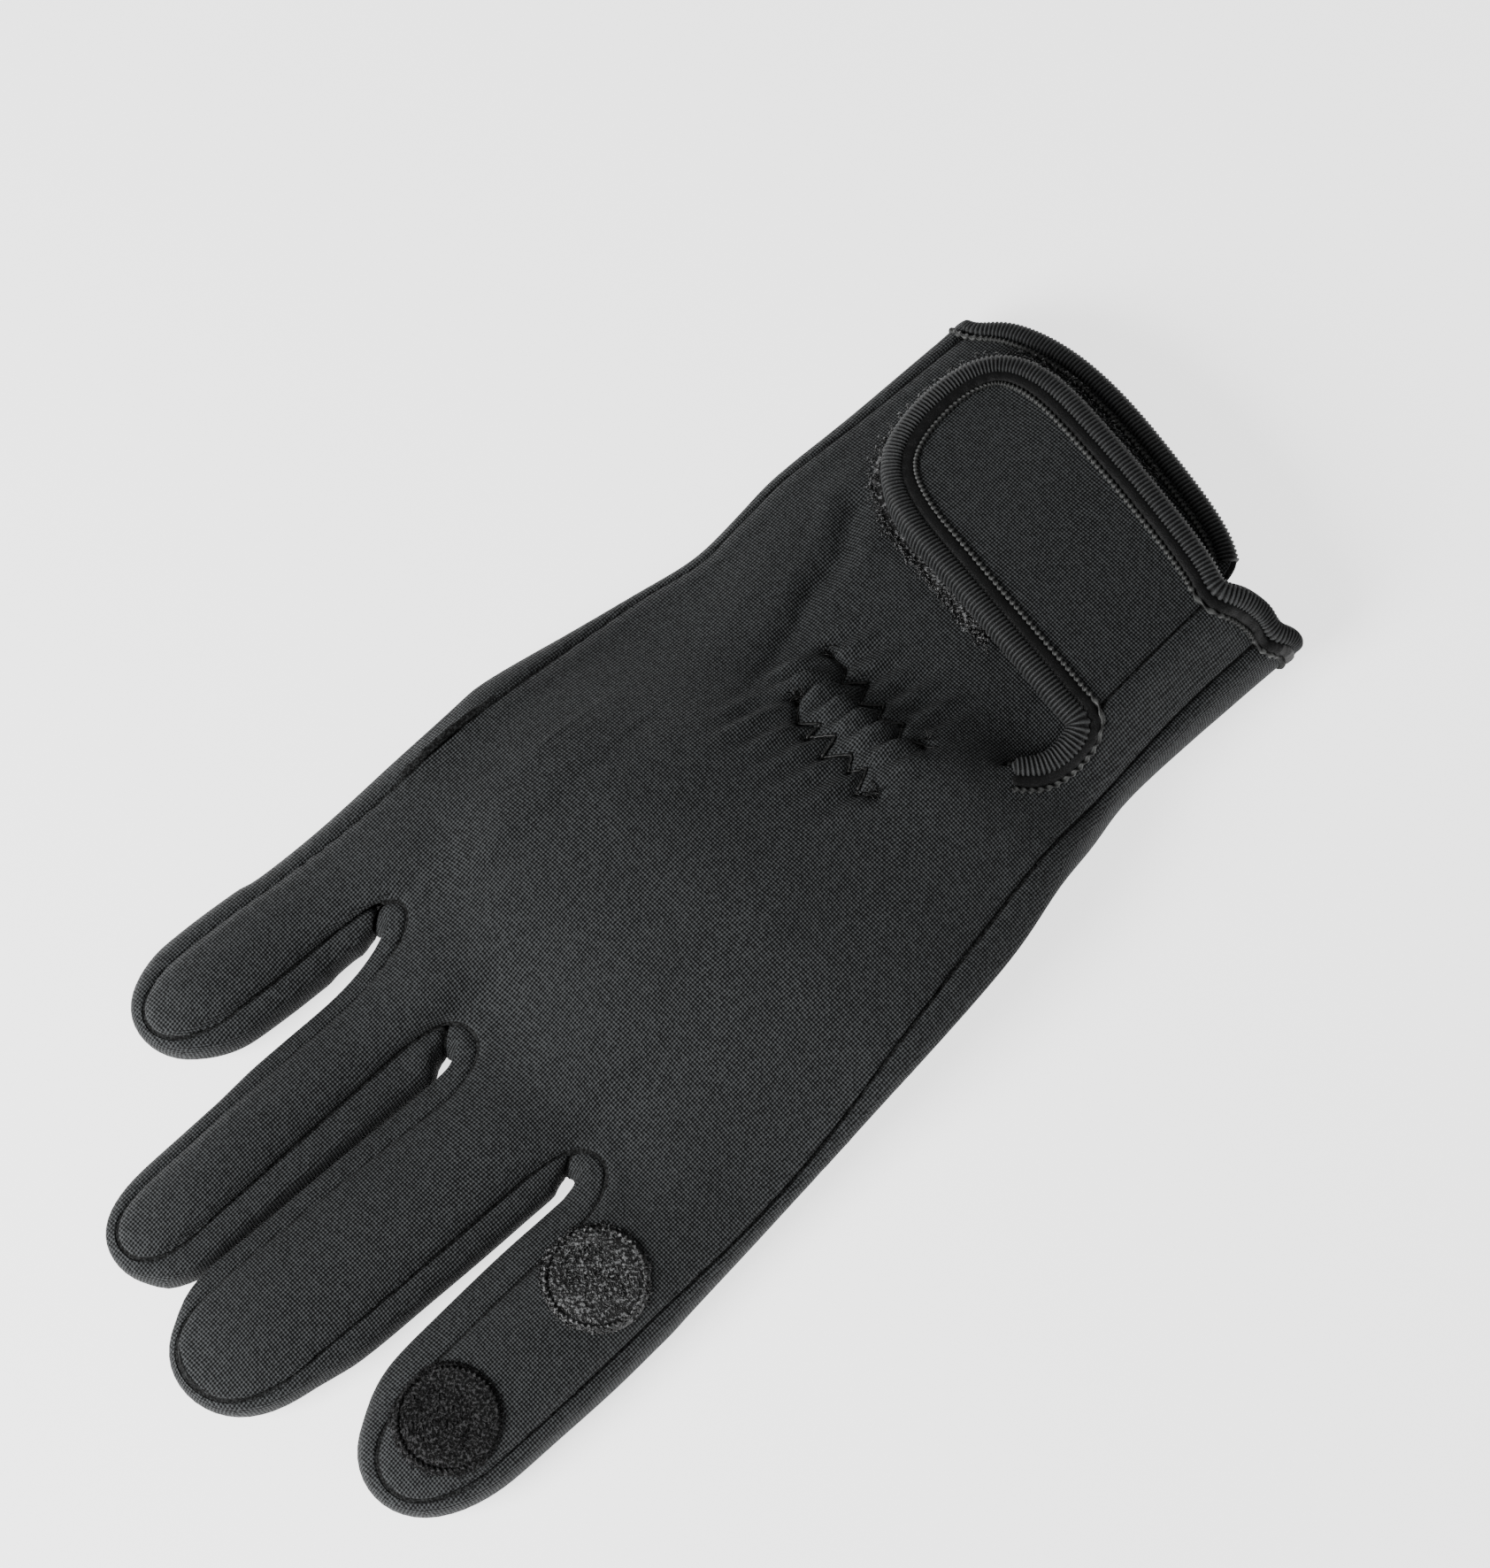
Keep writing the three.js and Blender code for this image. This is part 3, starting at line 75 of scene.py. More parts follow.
def add_camera():
    distance = CAMERA_DISTANCE * MM
    aim = CAMERA_AIM * MM
    level = math.cos(CAMERA_ELEVATION) * distance / math.sqrt(2)
    data = bpy.data.cameras.new("camera")
    data.lens = LENS
    data.sensor_width = SENSOR_WIDTH
    camera = add_object("camera", data)
    camera.location = aim + Vector((-level, level, math.sin(CAMERA_ELEVATION) * distance))
    look_at(camera, aim)
    bpy.context.scene.camera = camera


add_camera()


# Materials
class Term:
    """A shader value that can be used in sums and products."""

    def __init__(self, finish, socket):
        self.finish = finish
        self.socket = socket

    def math(self, operation, *others):
        sockets = dict(enumerate([self, *others]))
        return self.finish.node("ShaderNodeMath", {"operation": operation}, sockets)

    def __add__(self, other):
        return self.math("ADD", other)

    def __sub__(self, other):
        return self.math("SUBTRACT", other)

    def __mul__(self, other):
        return self.math("MULTIPLY", other)

    def __truediv__(self, other):
        return self.math("DIVIDE", other)

    def sine(self):
        return self.math("SINE")

    def clamp(self):
        return self.math("MAXIMUM", 0.0).math("MINIMUM", 1.0)

    def step(self, low, high):
        """0 below low, 1 above high and a smooth rise between them."""
        ends = {"From Min": low, "From Max": high}
        settings = {"interpolation_type": "SMOOTHSTEP"}
        return self.finish.node("ShaderNodeMapRange", settings, {"Value": self, **ends})


class Finish:
    """One material and its nodes."""

    def __init__(self, name, roughness, **constants):
        self.material = bpy.data.materials.new(name)
        self.material.use_nodes = True
        self.tree = self.material.node_tree
        self.shader = self.tree.nodes["Principled BSDF"]
        self.shader.inputs["Roughness"].default_value = roughness
        for socket, value in constants.items():
            self.shader.inputs[socket.replace("_", " ")].default_value = value

    def node(self, kind, settings, sockets, output=0):
        made = self.tree.nodes.new(kind)
        for name, value in settings.items():
            setattr(made, name, value)
        for name, value in sockets.items():
            if isinstance(value, Term):
                self.tree.links.new(value.socket, made.inputs[name])
            else:
                made.inputs[name].default_value = value
        return Term(self, made.outputs[output])

    def place(self):
        """Object coordinates in millimetres."""
        coordinates = self.node("ShaderNodeTexCoord", {}, {}, "Object")
        return self.node("ShaderNodeVectorMath", {"operation": "SCALE"}, {0: coordinates, "Scale": 1 / MM})

    def parts(self, vector):
        made = self.tree.nodes.new("ShaderNodeSeparateXYZ")
        self.tree.links.new(vector.socket, made.inputs[0])
        return [Term(self, socket) for socket in made.outputs]

    def attribute(self, name):
        return self.node("ShaderNodeAttribute", {"attribute_name": name}, {}, "Vector")

    def cloud(self, place, pitch, detail=3.0, rough=0.6):
        """Noise with patches of about one pitch, in millimetres."""
        sockets = {"Vector": place, "Scale": 1 / pitch, "Detail": detail, "Roughness": rough}
        return self.node("ShaderNodeTexNoise", {}, sockets, "Fac")

    def blend(self, amount, low, high):
        """Colour that goes from low to high."""
        sockets = {"Factor": amount, "A": (*low, 1.0), "B": (*high, 1.0)}
        made = self.tree.nodes.new("ShaderNodeMix")
        made.data_type = "RGBA"
        for name, value in sockets.items():
            coloured = name != "Factor"
            socket = next(s for s in made.inputs if s.name == name and (s.type == "RGBA") == coloured)
            if isinstance(value, Term):
                self.tree.links.new(value.socket, socket)
            else:
                socket.default_value = value
        return Term(self, next(s for s in made.outputs if s.type == "RGBA"))

    def colour(self, term):
        self.tree.links.new(term.socket, self.shader.inputs["Base Color"])

    def roughness(self, term):
        self.tree.links.new(term.socket, self.shader.inputs["Roughness"])

    def bump(self, height, depth):
        """Relief of depth millimetres."""
        sockets = {"Height": height, "Distance": depth * MM, "Strength": 1.0}
        relief = self.node("ShaderNodeBump", {}, sockets, "Normal")
        self.tree.links.new(relief.socket, self.shader.inputs["Normal"])


# Pitches in mm of the knit's stitches, of its slow wander, and of the embossed rows and bars of the palm
KNIT_PITCH = 0.58
KNIT_STRETCH = 1.04
WANDER_PITCH = 24.0
ROW_PITCH = 2.25
BAR_PITCH = 4.3
DEEP_BLACK = (0.0004, 0.0005, 0.0006)


def knit_cells(finish):
    """Relief and random shade of small stitches set in columns along the fingers."""
    across, along, _ = finish.parts(finish.attribute("knit"))
    place = finish.place()
    wander = (finish.cloud(place, WANDER_PITCH, 1.0) - 0.5) * 2.0
    u = (across + wander) / KNIT_PITCH
    v = (along + wander) / (KNIT_PITCH * KNIT_STRETCH)
    stitch = ((u * TURN).sine() + (v * TURN).sine()) * 0.25 + 0.5
    cell = finish.node("ShaderNodeCombineXYZ", {}, {"X": u.math("FLOOR"), "Y": v.math("FLOOR")})
    shade = finish.node("ShaderNodeTexWhiteNoise", {"noise_dimensions": "2D"}, {"Vector": cell}, "Value")
    return stitch, shade


def neoprene_finish():
    finish = Finish("neoprene", 0.8, Sheen_Weight=0.03, Sheen_Roughness=0.5, Specular_IOR_Level=0.16)
    stitch, shade = knit_cells(finish)
    place = finish.place()
    fibre = finish.cloud(place, 0.4, 1.0)
    tone = finish.cloud(place, 38.0, 2.0) * 0.22 + finish.cloud(place, 5.0) * 0.12
    light = ((stitch - 0.5) * 1.75 + (shade - 0.5) * 0.35 + (fibre - 0.5) * 0.8 + tone + 0.2).clamp()
    finish.colour(finish.blend(light, DEEP_BLACK, (0.056, 0.0595, 0.0613)))
    finish.roughness(stitch * -0.15 + 0.86)
    finish.bump(stitch + fibre * 0.3, 0.2)
    return finish.material


def weave_height(finish):
    """Basket weave: rows of raised bars along the glove, with a short bar across between each two."""
    x, y, _ = finish.parts(finish.place())
    row = x / ROW_PITCH
    along = y / BAR_PITCH + row.math("FLOOR").math("MODULO", 2.0) * 0.5
    from_row = (row.math("FRACT") - 0.5).math("ABSOLUTE")
    from_bar = (along.math("FRACT") - 0.5).math("ABSOLUTE")
    bar = from_bar.step(0.4, 0.34) * from_row.step(0.42, 0.3)
    cross = from_bar.step(0.41, 0.45) * from_row.step(0.5, 0.44)
    return (bar * 0.75).math("MAXIMUM", cross)


def grip_finish():
    finish = Finish("palm_grip", 0.6, Specular_IOR_Level=0.45)
    weave = weave_height(finish)
    grain = finish.cloud(finish.place(), 0.5)
    light = (weave * 0.75 + grain * 0.35 - 0.1).clamp()
    finish.colour(finish.blend(light, (0.006, 0.0065, 0.006), (0.055, 0.056, 0.053)))
    finish.bump(weave + grain * 0.12, 0.7)
    return finish.material


def tape_finish():
    finish = Finish("binding", 0.58, Sheen_Weight=0.03, Specular_IOR_Level=0.25)
    place = finish.place()
    rib, _, _ = finish.parts(finish.attribute("rib"))
    yarn = finish.cloud(place, 0.3, 2.0, 0.7)
    patch = finish.cloud(place, 7.0)
    # The rib attribute paints the band's rib tops lighter and its valleys darker: painted highlight and
    # painted shade that follow the ribs' relief
    light = ((rib - 0.5) * 1.3 + yarn.step(0.35, 0.7) * 0.4 + patch * 0.3 - 0.02).clamp()
    finish.colour(finish.blend(light, DEEP_BLACK, (0.05, 0.052, 0.053)))
    finish.bump(yarn, 0.15)
    return finish.material


def thread_finish():
    finish = Finish("thread", 0.5, Specular_IOR_Level=0.4)
    yarn = finish.cloud(finish.place(), 0.2, 1.0)
    rib, _, _ = finish.parts(finish.attribute("rib"))
    # On a twisted stitch the rib attribute follows the twist: painted highlight on the plies and painted
    # shade between them; unribbed threads keep one even tone
    light = (rib * 0.9 + yarn.step(0.4, 0.7) * 0.4 - 0.15).clamp()
    finish.colour(finish.blend(light, (0.001, 0.001, 0.001), (0.062, 0.064, 0.062)))
    return finish.material


def seam_shade_finish():
    finish = Finish("seam_shade_thread", 0.8, Specular_IOR_Level=0.1)
    yarn = finish.cloud(finish.place(), 0.4, 1.0)
    # Dark yarn colour: painted shade of the seam grooves, with a few lighter yarn specks
    finish.colour(finish.blend(yarn.step(0.4, 0.7), (0.003, 0.003, 0.003), (0.024, 0.025, 0.025)))
    return finish.material


def hook_finish():
    finish = Finish("hook_tape", 0.38, Specular_IOR_Level=0.5)
    place = finish.place()
    specks = finish.cloud(place, 0.6, 2.0, 0.7)
    patch = finish.cloud(place, 2.5)
    light = (specks.step(0.52, 0.62) * 0.95 + patch * 0.3 - 0.15).clamp()
    finish.colour(finish.blend(light, (0.0006, 0.0006, 0.0006), (0.13, 0.132, 0.134)))
    finish.bump(specks, 0.3)
    return finish.material


def loop_finish():
    finish = Finish("loop_tape", 0.9, Specular_IOR_Level=0.2)
    place = finish.place()
    fuzz = finish.cloud(place, 0.5, 2.0, 0.7)
    finish.colour(finish.blend(fuzz.step(0.45, 0.68), (0.001, 0.001, 0.001), (0.05, 0.05, 0.051)))
    finish.bump(fuzz, 0.35)
    return finish.material


FINISHES = {
    "neoprene": neoprene_finish(),
    "palm_grip": grip_finish(),
    "binding": tape_finish(),
    "thread": thread_finish(),
    "seam_shade_thread": seam_shade_finish(),
    "hook_tape": hook_finish(),
    "loop_tape": loop_finish(),
}


# Geometry helpers
def smooth(f):
    f = min(max(f, 0.0), 1.0)
    return f * f * (3 - 2 * f)


def bell(distance, width):
    return math.exp(-((distance / width) ** 2))


def mesh_of(made, name):
    mesh = bpy.data.meshes.new(name)
    made.to_mesh(mesh)
    made.free()
    return mesh


def tree_of(places):
    tree = kdtree.KDTree(len(places))
    for k, place in enumerate(places):
        tree.insert(place, k)
    tree.balance()
    return tree


# What would sink into the floor is pressed flat on it
REST_HEIGHT = 0.04 * MM


def add_piece(name, mesh, finish, slot, *nodes):
    piece = add_object(name, mesh)
    places = np.empty(len(mesh.vertices) * 3)
    mesh.vertices.foreach_get("co", places)
    places[2::3] = np.maximum(places[2::3], REST_HEIGHT)
    mesh.vertices.foreach_set("co", places)
    mesh.update()
    mesh.materials.clear()
    mesh.materials.append(FINISHES[finish])
    for face in mesh.polygons:
        face.material_index = 0
        face.use_smooth = True
    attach(piece, "root")
    if nodes:
        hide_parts(*nodes)
    return piece


def surface_of(mesh):
    made = bmesh.new()
    made.from_mesh(mesh)
    tree = bvhtree.BVHTree.FromBMesh(made)
    made.free()
    return tree


# Sheets of neoprene: the outer skin, the inner skin and the cut edge between them
OUTER, INNER, EDGE = 0, 1, 2
EDGE_ANGLE = math.radians(50)
SLIVER_ROUNDS = 4


def mark_skins(made):
    """Gives each face of a walled sheet its part as a material index."""
    found = []
    left = set(made.faces)
    while left:
        first = left.pop()
        region, reached = [first], [first]
        while reached:
            for edge in reached.pop().edges:
                if len(edge.link_faces) == 2 and edge.calc_face_angle() < EDGE_ANGLE:
                    for face in edge.link_faces:
                        if face in left:
                            left.remove(face)
                            region.append(face)
                            reached.append(face)
        found.append((sum(face.calc_area() for face in region), region))
    found.sort(key=lambda item: -item[0])
    for rank, (_, region) in enumerate(found):
        for face in region:
            face.material_index = min(rank, EDGE)
    for _, region in found[EDGE:]:
        edges = {edge for face in region for edge in face.edges}
        beside = {face.material_index for edge in edges for face in edge.link_faces}
        if len(beside & {OUTER, INNER}) == 1:
            for face in region:
                face.material_index = min(beside)
    for _ in range(SLIVER_ROUNDS):
        for face in made.faces:
            if face.material_index == EDGE:
                beside = {other.material_index for vertex in face.verts for other in vertex.link_faces}
                if len(beside & {OUTER, INNER}) == 1:
                    face.material_index = min(beside)


def rounded_sheet(node, levels):
    """Copy of a CAD sheet in quads, rounded between its cut edges."""
    made = bmesh.new()
    made.from_mesh(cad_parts[node].data)
    bmesh.ops.remove_doubles(made, verts=made.verts, dist=0.01 * MM)
    bmesh.ops.join_triangles(
        made,
        faces=made.faces,
        angle_face_threshold=math.radians(45),
        angle_shape_threshold=math.radians(62),
    )
    mark_skins(made)
    crease = made.edges.layers.float.new("crease_edge")
    for edge in made.edges:
        kinds = {face.material_index for face in edge.link_faces}
        edge[crease] = 1.0 if len(kinds) > 1 else 0.0
    mesh = bpy.data.meshes.new(node + "_rounded")
    for _ in range(3):
        mesh.materials.append(None)
    made.to_mesh(mesh)
    made.free()
    piece = add_object(node + "_rounded", mesh)
    rounding = piece.modifiers.new("rounding", "SUBSURF")
    rounding.levels = rounding.render_levels = levels
    view = bpy.context.evaluated_depsgraph_get()
    made = bmesh.new()
    made.from_mesh(bpy.data.meshes.new_from_object(piece.evaluated_get(view)))
    bpy.data.objects.remove(piece)
    return made


def is_outer(vertex):
    return all(face.material_index == OUTER for face in vertex.link_faces)


def is_edge(vertex):
    return any(face.material_index == EDGE for face in vertex.link_faces)


def is_rim(vertex):
    return len({face.material_index for face in vertex.link_faces} & {OUTER, EDGE}) == 2


def even_out(made, rounds, low=-1.0, high=1.0):
    """Relaxes both skins between their cut edges, over a stretch of the glove's length."""
    inside = [vertex for vertex in made.verts if low < vertex.co.y < high and not is_edge(vertex)]
    for _ in range(rounds):
        bmesh.ops.smooth_vert(
            made, verts=inside, factor=0.5, use_axis_x=True, use_axis_y=True, use_axis_z=True
        )


def refine(made, wanted, rounds):
    """Halves the outer skin's edges until they are about as short as wanted at their place."""
    for _ in range(rounds):
        tree = rim_tree(made)
        long_edges = []
        for edge in made.edges:
            if all(face.material_index == OUTER for face in edge.link_faces):
                middle = (edge.verts[0].co + edge.verts[1].co) / 2
                if edge.calc_length() > 1.5 * MM * wanted(middle / MM, tree.find(middle)[2] / MM):
                    long_edges.append(edge)
        bmesh.ops.subdivide_edges(made, edges=long_edges, cuts=1, use_grid_fill=True)
        even_out(made, 1)


def rim_tree(made):
    return tree_of([vertex.co for vertex in made.verts if is_rim(vertex)])


# Edge points of every sheet, kept for the tapes and seams that follow them
RIMS = {}


def keep_rim(node, made):
    points = []
    for vertex in made.verts:
        if is_rim(vertex):
            up, middle = Vector(), Vector()
            faces = [face for face in vertex.link_faces if face.material_index == OUTER]
            for face in faces:
                up += face.normal
                middle += face.calc_center_median() / len(faces)
            points.append((vertex.co.copy(), up.normalized(), (middle - vertex.co).normalized()))
    RIMS[node] = points


# Closed lines of outer edge points, in order, for the sunk seam threads
LOOPS = {}
LEAST_LOOP = 20


def keep_loops(node, made):
    ahead = {}
    for edge in made.edges:
        if {face.material_index for face in edge.link_faces} == {OUTER, EDGE}:
            for vertex, other in (edge.verts, reversed(edge.verts)):
                ahead.setdefault(vertex, []).append(other)
    loops = []
    while ahead:
        vertex = next(iter(ahead))
        loop = []
        while vertex in ahead:
            loop.append(vertex)
            nearby = ahead.pop(vertex)
            vertex = next((other for other in nearby if other in ahead), None)
        if len(loop) > LEAST_LOOP:
            line = []
            for vertex in loop:
                faces = [face for face in vertex.link_faces if face.material_index == OUTER]
                line.append((vertex.co.copy(), sum((face.normal for face in faces), Vector()).normalized()))
            loops.append(line)
    LOOPS[node] = loops


# A face is a side when its normal lies this flat; the knit is a little closer up and down there
STEEP = 0.75
SIDE_STRETCH = 1.2


def write_knit(mesh):
    """Stores the knit's own directions in mm: along the glove where it lies flat, upright at the sides."""
    places = np.empty(len(mesh.vertices) * 3)
    corners = np.empty(len(mesh.loops), dtype=np.int32)
    normals = np.empty(len(mesh.polygons) * 3)
    sides = np.empty(len(mesh.polygons), dtype=np.int32)
    mesh.vertices.foreach_get("co", places)
    mesh.loops.foreach_get("vertex_index", corners)
    mesh.polygons.foreach_get("normal", normals)
    mesh.polygons.foreach_get("loop_total", sides)
    x, y, z = (places.reshape(-1, 3)[corners] / MM).T
    across, along, _ = np.abs(np.repeat(normals.reshape(-1, 3), sides, axis=0)).T
    steep = np.hypot(across, along) > STEEP
    knit = np.zeros((len(corners), 3))
    knit[:, 0] = np.where(steep & (across > along), z * SIDE_STRETCH, x)
    knit[:, 1] = np.where(steep & (across <= along), z * SIDE_STRETCH, y)
    mesh.attributes.new("knit", "FLOAT_VECTOR", "CORNER").data.foreach_set("vector", knit.ravel())


# Stretch of the glove's length round the finger forks, where the sheets are evened out most
FORK_STRETCH = (2 * MM, 58 * MM)
FORK_ROUNDS = 30
SHEET_ROUNDS = 8

# A seam edge is rolled down over ROLL_WIDTH and swells up at SWELL_PLACE from it, all in mm
ROLL_WIDTH = 1.7
ROLL_DEPTH = 0.42
EDGE_SWELL = 0.22
SWELL_PLACE = 2.8
SWELL_WIDTH = 1.4
RIPPLE_PITCH = 16


def sew(node, levels=2, wanted=None, rounds=0, shift=None, roll=ROLL_DEPTH, ripple=0.22, plump=None):
    """Finished mesh of one sheet, with its seam edges rolled over and slow ripples between them."""
    made = rounded_sheet(node, levels)
    even_out(made, SHEET_ROUNDS)
    even_out(made, FORK_ROUNDS, *FORK_STRETCH)
    if wanted:
        refine(made, wanted, rounds)
    keep_rim(node, made)
    keep_loops(node, made)
    tree = rim_tree(made)
    made.normal_update()
    moves = []
    for vertex in made.verts:
        far = tree.find(vertex.co)[2] / MM
        x, y, z = vertex.co / MM
        move = -roll * max(1 - far / ROLL_WIDTH, 0) ** 2 + EDGE_SWELL * bell(far - SWELL_PLACE, SWELL_WIDTH)
        move += ripple * noise.noise(Vector((x, y, z)) / RIPPLE_PITCH) * smooth(far / 4)
        if shift and is_outer(vertex):
            move += shift(x, y, far) * smooth(far / 1.5)
        if plump:
            move += plump(node, vertex.co) * smooth(far / 4)
        moves.append(vertex.normal * move * MM)
    for vertex, move in zip(made.verts, moves):
        vertex.co += move
    mesh = mesh_of(made, node + "_sewn")
    write_knit(mesh)
    return mesh


# Folds and gathers of the back, in mm
ZIGZAGS = [
    [(10.2, -51.3), (5.2, -51.3), (3.2, -48.3), (0.2, -52.3), (-2.8, -46.3), (-5.8, -50.3), (-7.8, -46.3),
     (-11.8, -49.3), (-13.8, -45.3), (-17.8, -48.3)],
    [(6.2, -39.3), (2.2, -35.3), (-0.8, -38.3), (-0.8, -34.3), (-4.8, -38.3), (-5.8, -33.3), (-9.8, -37.3),
     (-11.8, -34.3), (-13.8, -37.3), (-15.8, -32.3), (-18.8, -34.3)],
]
WRIST_FOLD = [(28.2, -77.3), (22.2, -67.3), (21.2, -58.3), (18.2, -51.3), (16.2, -42.3), (14.2, -32.3),
              (11.2, -25.3)]
KNUCKLE_VALLEY = [(34, 27), (16, 38), (-10, 47), (-38, 46)]


def line_distance(x, y, line):
    best = 1e9
    for (ax, ay), (bx, by) in zip(line, line[1:]):
        dx, dy = bx - ax, by - ay
        f = min(max(((x - ax) * dx + (y - ay) * dy) / (dx * dx + dy * dy), 0.0), 1.0)
        best = min(best, math.hypot(x - ax - f * dx, y - ay - f * dy))
    return best


# Parts of the back, as x from, x to, y from and y to: all that the gathers pull on, and their core
GATHER_AREA = (-36, 42, -92, -8)
GATHER_CORE = (-30, 24, -64, -18)

# Depth of each groove and how wide it fades
VALLEY = (1.1, 6.5)
GROOVE = (1.5, 0.6)
PULL = (0.8, 2.2)
THREAD_END = (0.5, 1.4)
FOLD = (1.2, 1.6)
FOLD_SHOULDER = (0.6, 2.5)

# The puffs between the two stitched rows, and the shorter pulls outside them: middle in y and width
PUFF_ROW = (43.0, 4.4)
PUFF_PITCH = 4.6
PULL_ROWS = ((55.5, 5.0), (29.5, 5.5))
PULL_PITCH = 5.2


def inside(x, y, area):
    return area[0] < x < area[1] and area[2] < y < area[3]


def groove(near, depth, width):
    return depth * bell(near, width)


def gathers(x, y, far):
    """Rise of the back: the dip behind the knuckles, the grooves, the puffs between them and the fold."""
    rise = -groove(line_distance(x, y, KNUCKLE_VALLEY), *VALLEY) * smooth(far / 5)
    if inside(x, y, GATHER_AREA):
        for line in ZIGZAGS:
            near = line_distance(x, y, line)
            rise -= groove(near, *GROOVE) + groove(near, *PULL)
            for end in (line[0], line[-1]):
                rise -= groove(math.hypot(x - end[0], y - end[1]), *THREAD_END)
        within = smooth((x + 24) / 9) * smooth((17 - x) / 9)
        middle = bell(y + PUFF_ROW[0], PUFF_ROW[1])
        rise += within * middle * (1.6 + 1.5 * math.cos(TURN * (x - 0.35 * y) / PUFF_PITCH))
        outer = sum(bell(y + place, width) for place, width in PULL_ROWS)
        rise += within * outer * 0.9 * math.cos(TURN * (x - 0.25 * y) / PULL_PITCH)
        near = line_distance(x, y, WRIST_FOLD)
        rise -= (groove(near, *FOLD) - groove(near - 4.5, *FOLD_SHOULDER)) * smooth((-26 - y) / 34)
    return rise


# Wanted edge lengths in mm: in the gathers, near the cut edges and elsewhere
EDGE_ZONE = 2.5


def back_detail(place, far):
    if inside(place.x, place.y, GATHER_CORE):
        return 0.55
    return 0.7 if far < EDGE_ZONE else 1.6


def side_detail(place, far):
    return 0.9 if far < EDGE_ZONE else 1.8


FINGERS = ("pinky", "ring", "middle", "index")

# Between neighbour fingers: the most that a side strip fills out, in mm, and its share of the gap
GAP_FILLS = {
    ("pinky", "ring"): (0.6, 0.15),
    ("ring", "middle"): (2.4, 0.46),
    ("middle", "index"): (1.2, 0.3),
}
WIDE_GAP = 10
FILL_FROM = 22
FILL_TO = 124


def between_fingers(node, place):
    """How far a side strip fills out towards the next finger."""
    finger = node[len("gusset_"):]
    others = [name for name in SIDE_TREES if name != node]
    gap, other = min((SIDE_TREES[name].find_nearest(place)[3] / MM, name) for name in others)
    pair = (finger, other[len("gusset_"):])
    most, share = GAP_FILLS.get(pair) or GAP_FILLS.get(pair[::-1], (0, 0))
    along = place.y / MM
    fill = min(most * smooth((WIDE_GAP - gap) / 5), share * gap)
    return fill * smooth((along - FILL_FROM) / 8) * smooth((FILL_TO - along) / 14)


add_piece("back_shell", sew("back_panel", 2, back_detail, 4, gathers), "neoprene", "neoprene", "back_panel")
SIDE_TREES = {"gusset_" + finger: surface_of(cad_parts["gusset_" + finger].data) for finger in FINGERS}
for finger in FINGERS:
    side = sew("gusset_" + finger, 2, side_detail, 2, plump=between_fingers)
    add_piece(finger + "_side_strip", side, "neoprene", "neoprene", "gusset_" + finger)
for node, title in (("palm_panel", "palm_shell"), ("index_tip_palm_panel", "index_tip_palm_shell")):
    add_piece(title, sew(node, 1, roll=0.3, ripple=0.0), "palm_grip", "palm_grip", node)
for node in ("thumb_back", "thumb_front"):
    add_piece(node + "_shell", sew(node), "neoprene", "neoprene", node)
strap_sheet = sew("wrist_strap", 2, side_detail, 2, roll=0.2)
add_piece("strap_shell", strap_sheet, "neoprene", "neoprene", "wrist_strap")


# Edge tapes and cords, swept along the edges of the sheets
def even(line, spacing):
    """Points at even steps along a line of points."""
    lengths = [0.0]
    for a, b in zip(line, line[1:]):
        lengths.append(lengths[-1] + (b - a).length)
    count = max(int(lengths[-1] / spacing), 2)
    result, k = [], 0
    for n in range(count + 1):
        goal = lengths[-1] * n / count
        while k + 2 < len(line) and lengths[k + 1] < goal:
            k += 1
        f = (goal - lengths[k]) / max(lengths[k + 1] - lengths[k], 1e-9)
        result.append(line[k].lerp(line[k + 1], min(max(f, 0.0), 1.0)))
    return result


def relax(line, rounds):
    for _ in range(rounds):
        line = [line[0], *[(a + 2 * b + c) / 4 for a, b, c in zip(line, line[1:], line[2:])], line[-1]]
    return line


class Route:
    """Stations along a line, each with its place, its way to one side and its way up."""

    def __init__(self, places, ups, sides=None):
        self.frames = []
        for k, place in enumerate(places):
            ahead = (places[min(k + 1, len(places) - 1)] - places[max(k - 1, 0)]).normalized()
            up = (ups[k] - ahead * ups[k].dot(ahead)).normalized()
            side = up.cross(ahead)
            if sides and side.dot(sides[k]) < 0:
                side = -side
            self.frames.append((place, side, up))
        self.spacing = (places[1] - places[0]).length / MM


SPREAD = 1.6


def edge_route(guide, nodes, spacing, rounding):
    """Route along the cut edges of sheets, near a rough guide; each sheet counts up to its own x."""
    points = [point for node, limit in nodes.items() for point in RIMS[node] if point[0].x < limit * MM]
    tree = tree_of([place for place, _, _ in points])

    def settle(place, reach):
        centre, up, inward, total = Vector(), Vector(), Vector(), 0.0
        nearest = tree.find(place)[2]
        for _, k, distance in tree.find_range(place, nearest + 2 * reach):
            weight = math.exp(-(((distance - nearest) / reach) ** 2) * 2)
            centre += points[k][0] * weight
            up += points[k][1] * weight
            inward += points[k][2] * weight
            total += weight
        return centre / total, up.normalized(), inward.normalized()

    line = [Vector(place) * MM for place in guide]
    for reach in (3.0, SPREAD):
        line = [settle(place, reach * MM)[0] for place in even(line, 0.6 * MM)]
    places = even(relax(line, rounding), spacing * MM)
    settled = [settle(place, SPREAD * MM) for place in places]
    return Route(places, [up for _, up, _ in settled], [inward for _, _, inward in settled])


def inner_route(route, offset, skins):
    """Route on the pieces' skins, at a distance in mm inside another route."""
    surfaces = [surface_of(bpy.data.objects[name].data) for name in skins]
    places, ups = [], []
    for place, inward, up in route.frames:
        spot = place + (inward * offset + up * 1.2) * MM
        hits = (surface.find_nearest(spot) for surface in surfaces)
        found, normal, _, _ = min(hits, key=lambda hit: hit[3])
        places.append(found)
        ups.append(normal if normal.dot(up) > 0.2 else up)
    return Route(relax(places, 4), ups, [inward for _, inward, _ in route.frames])


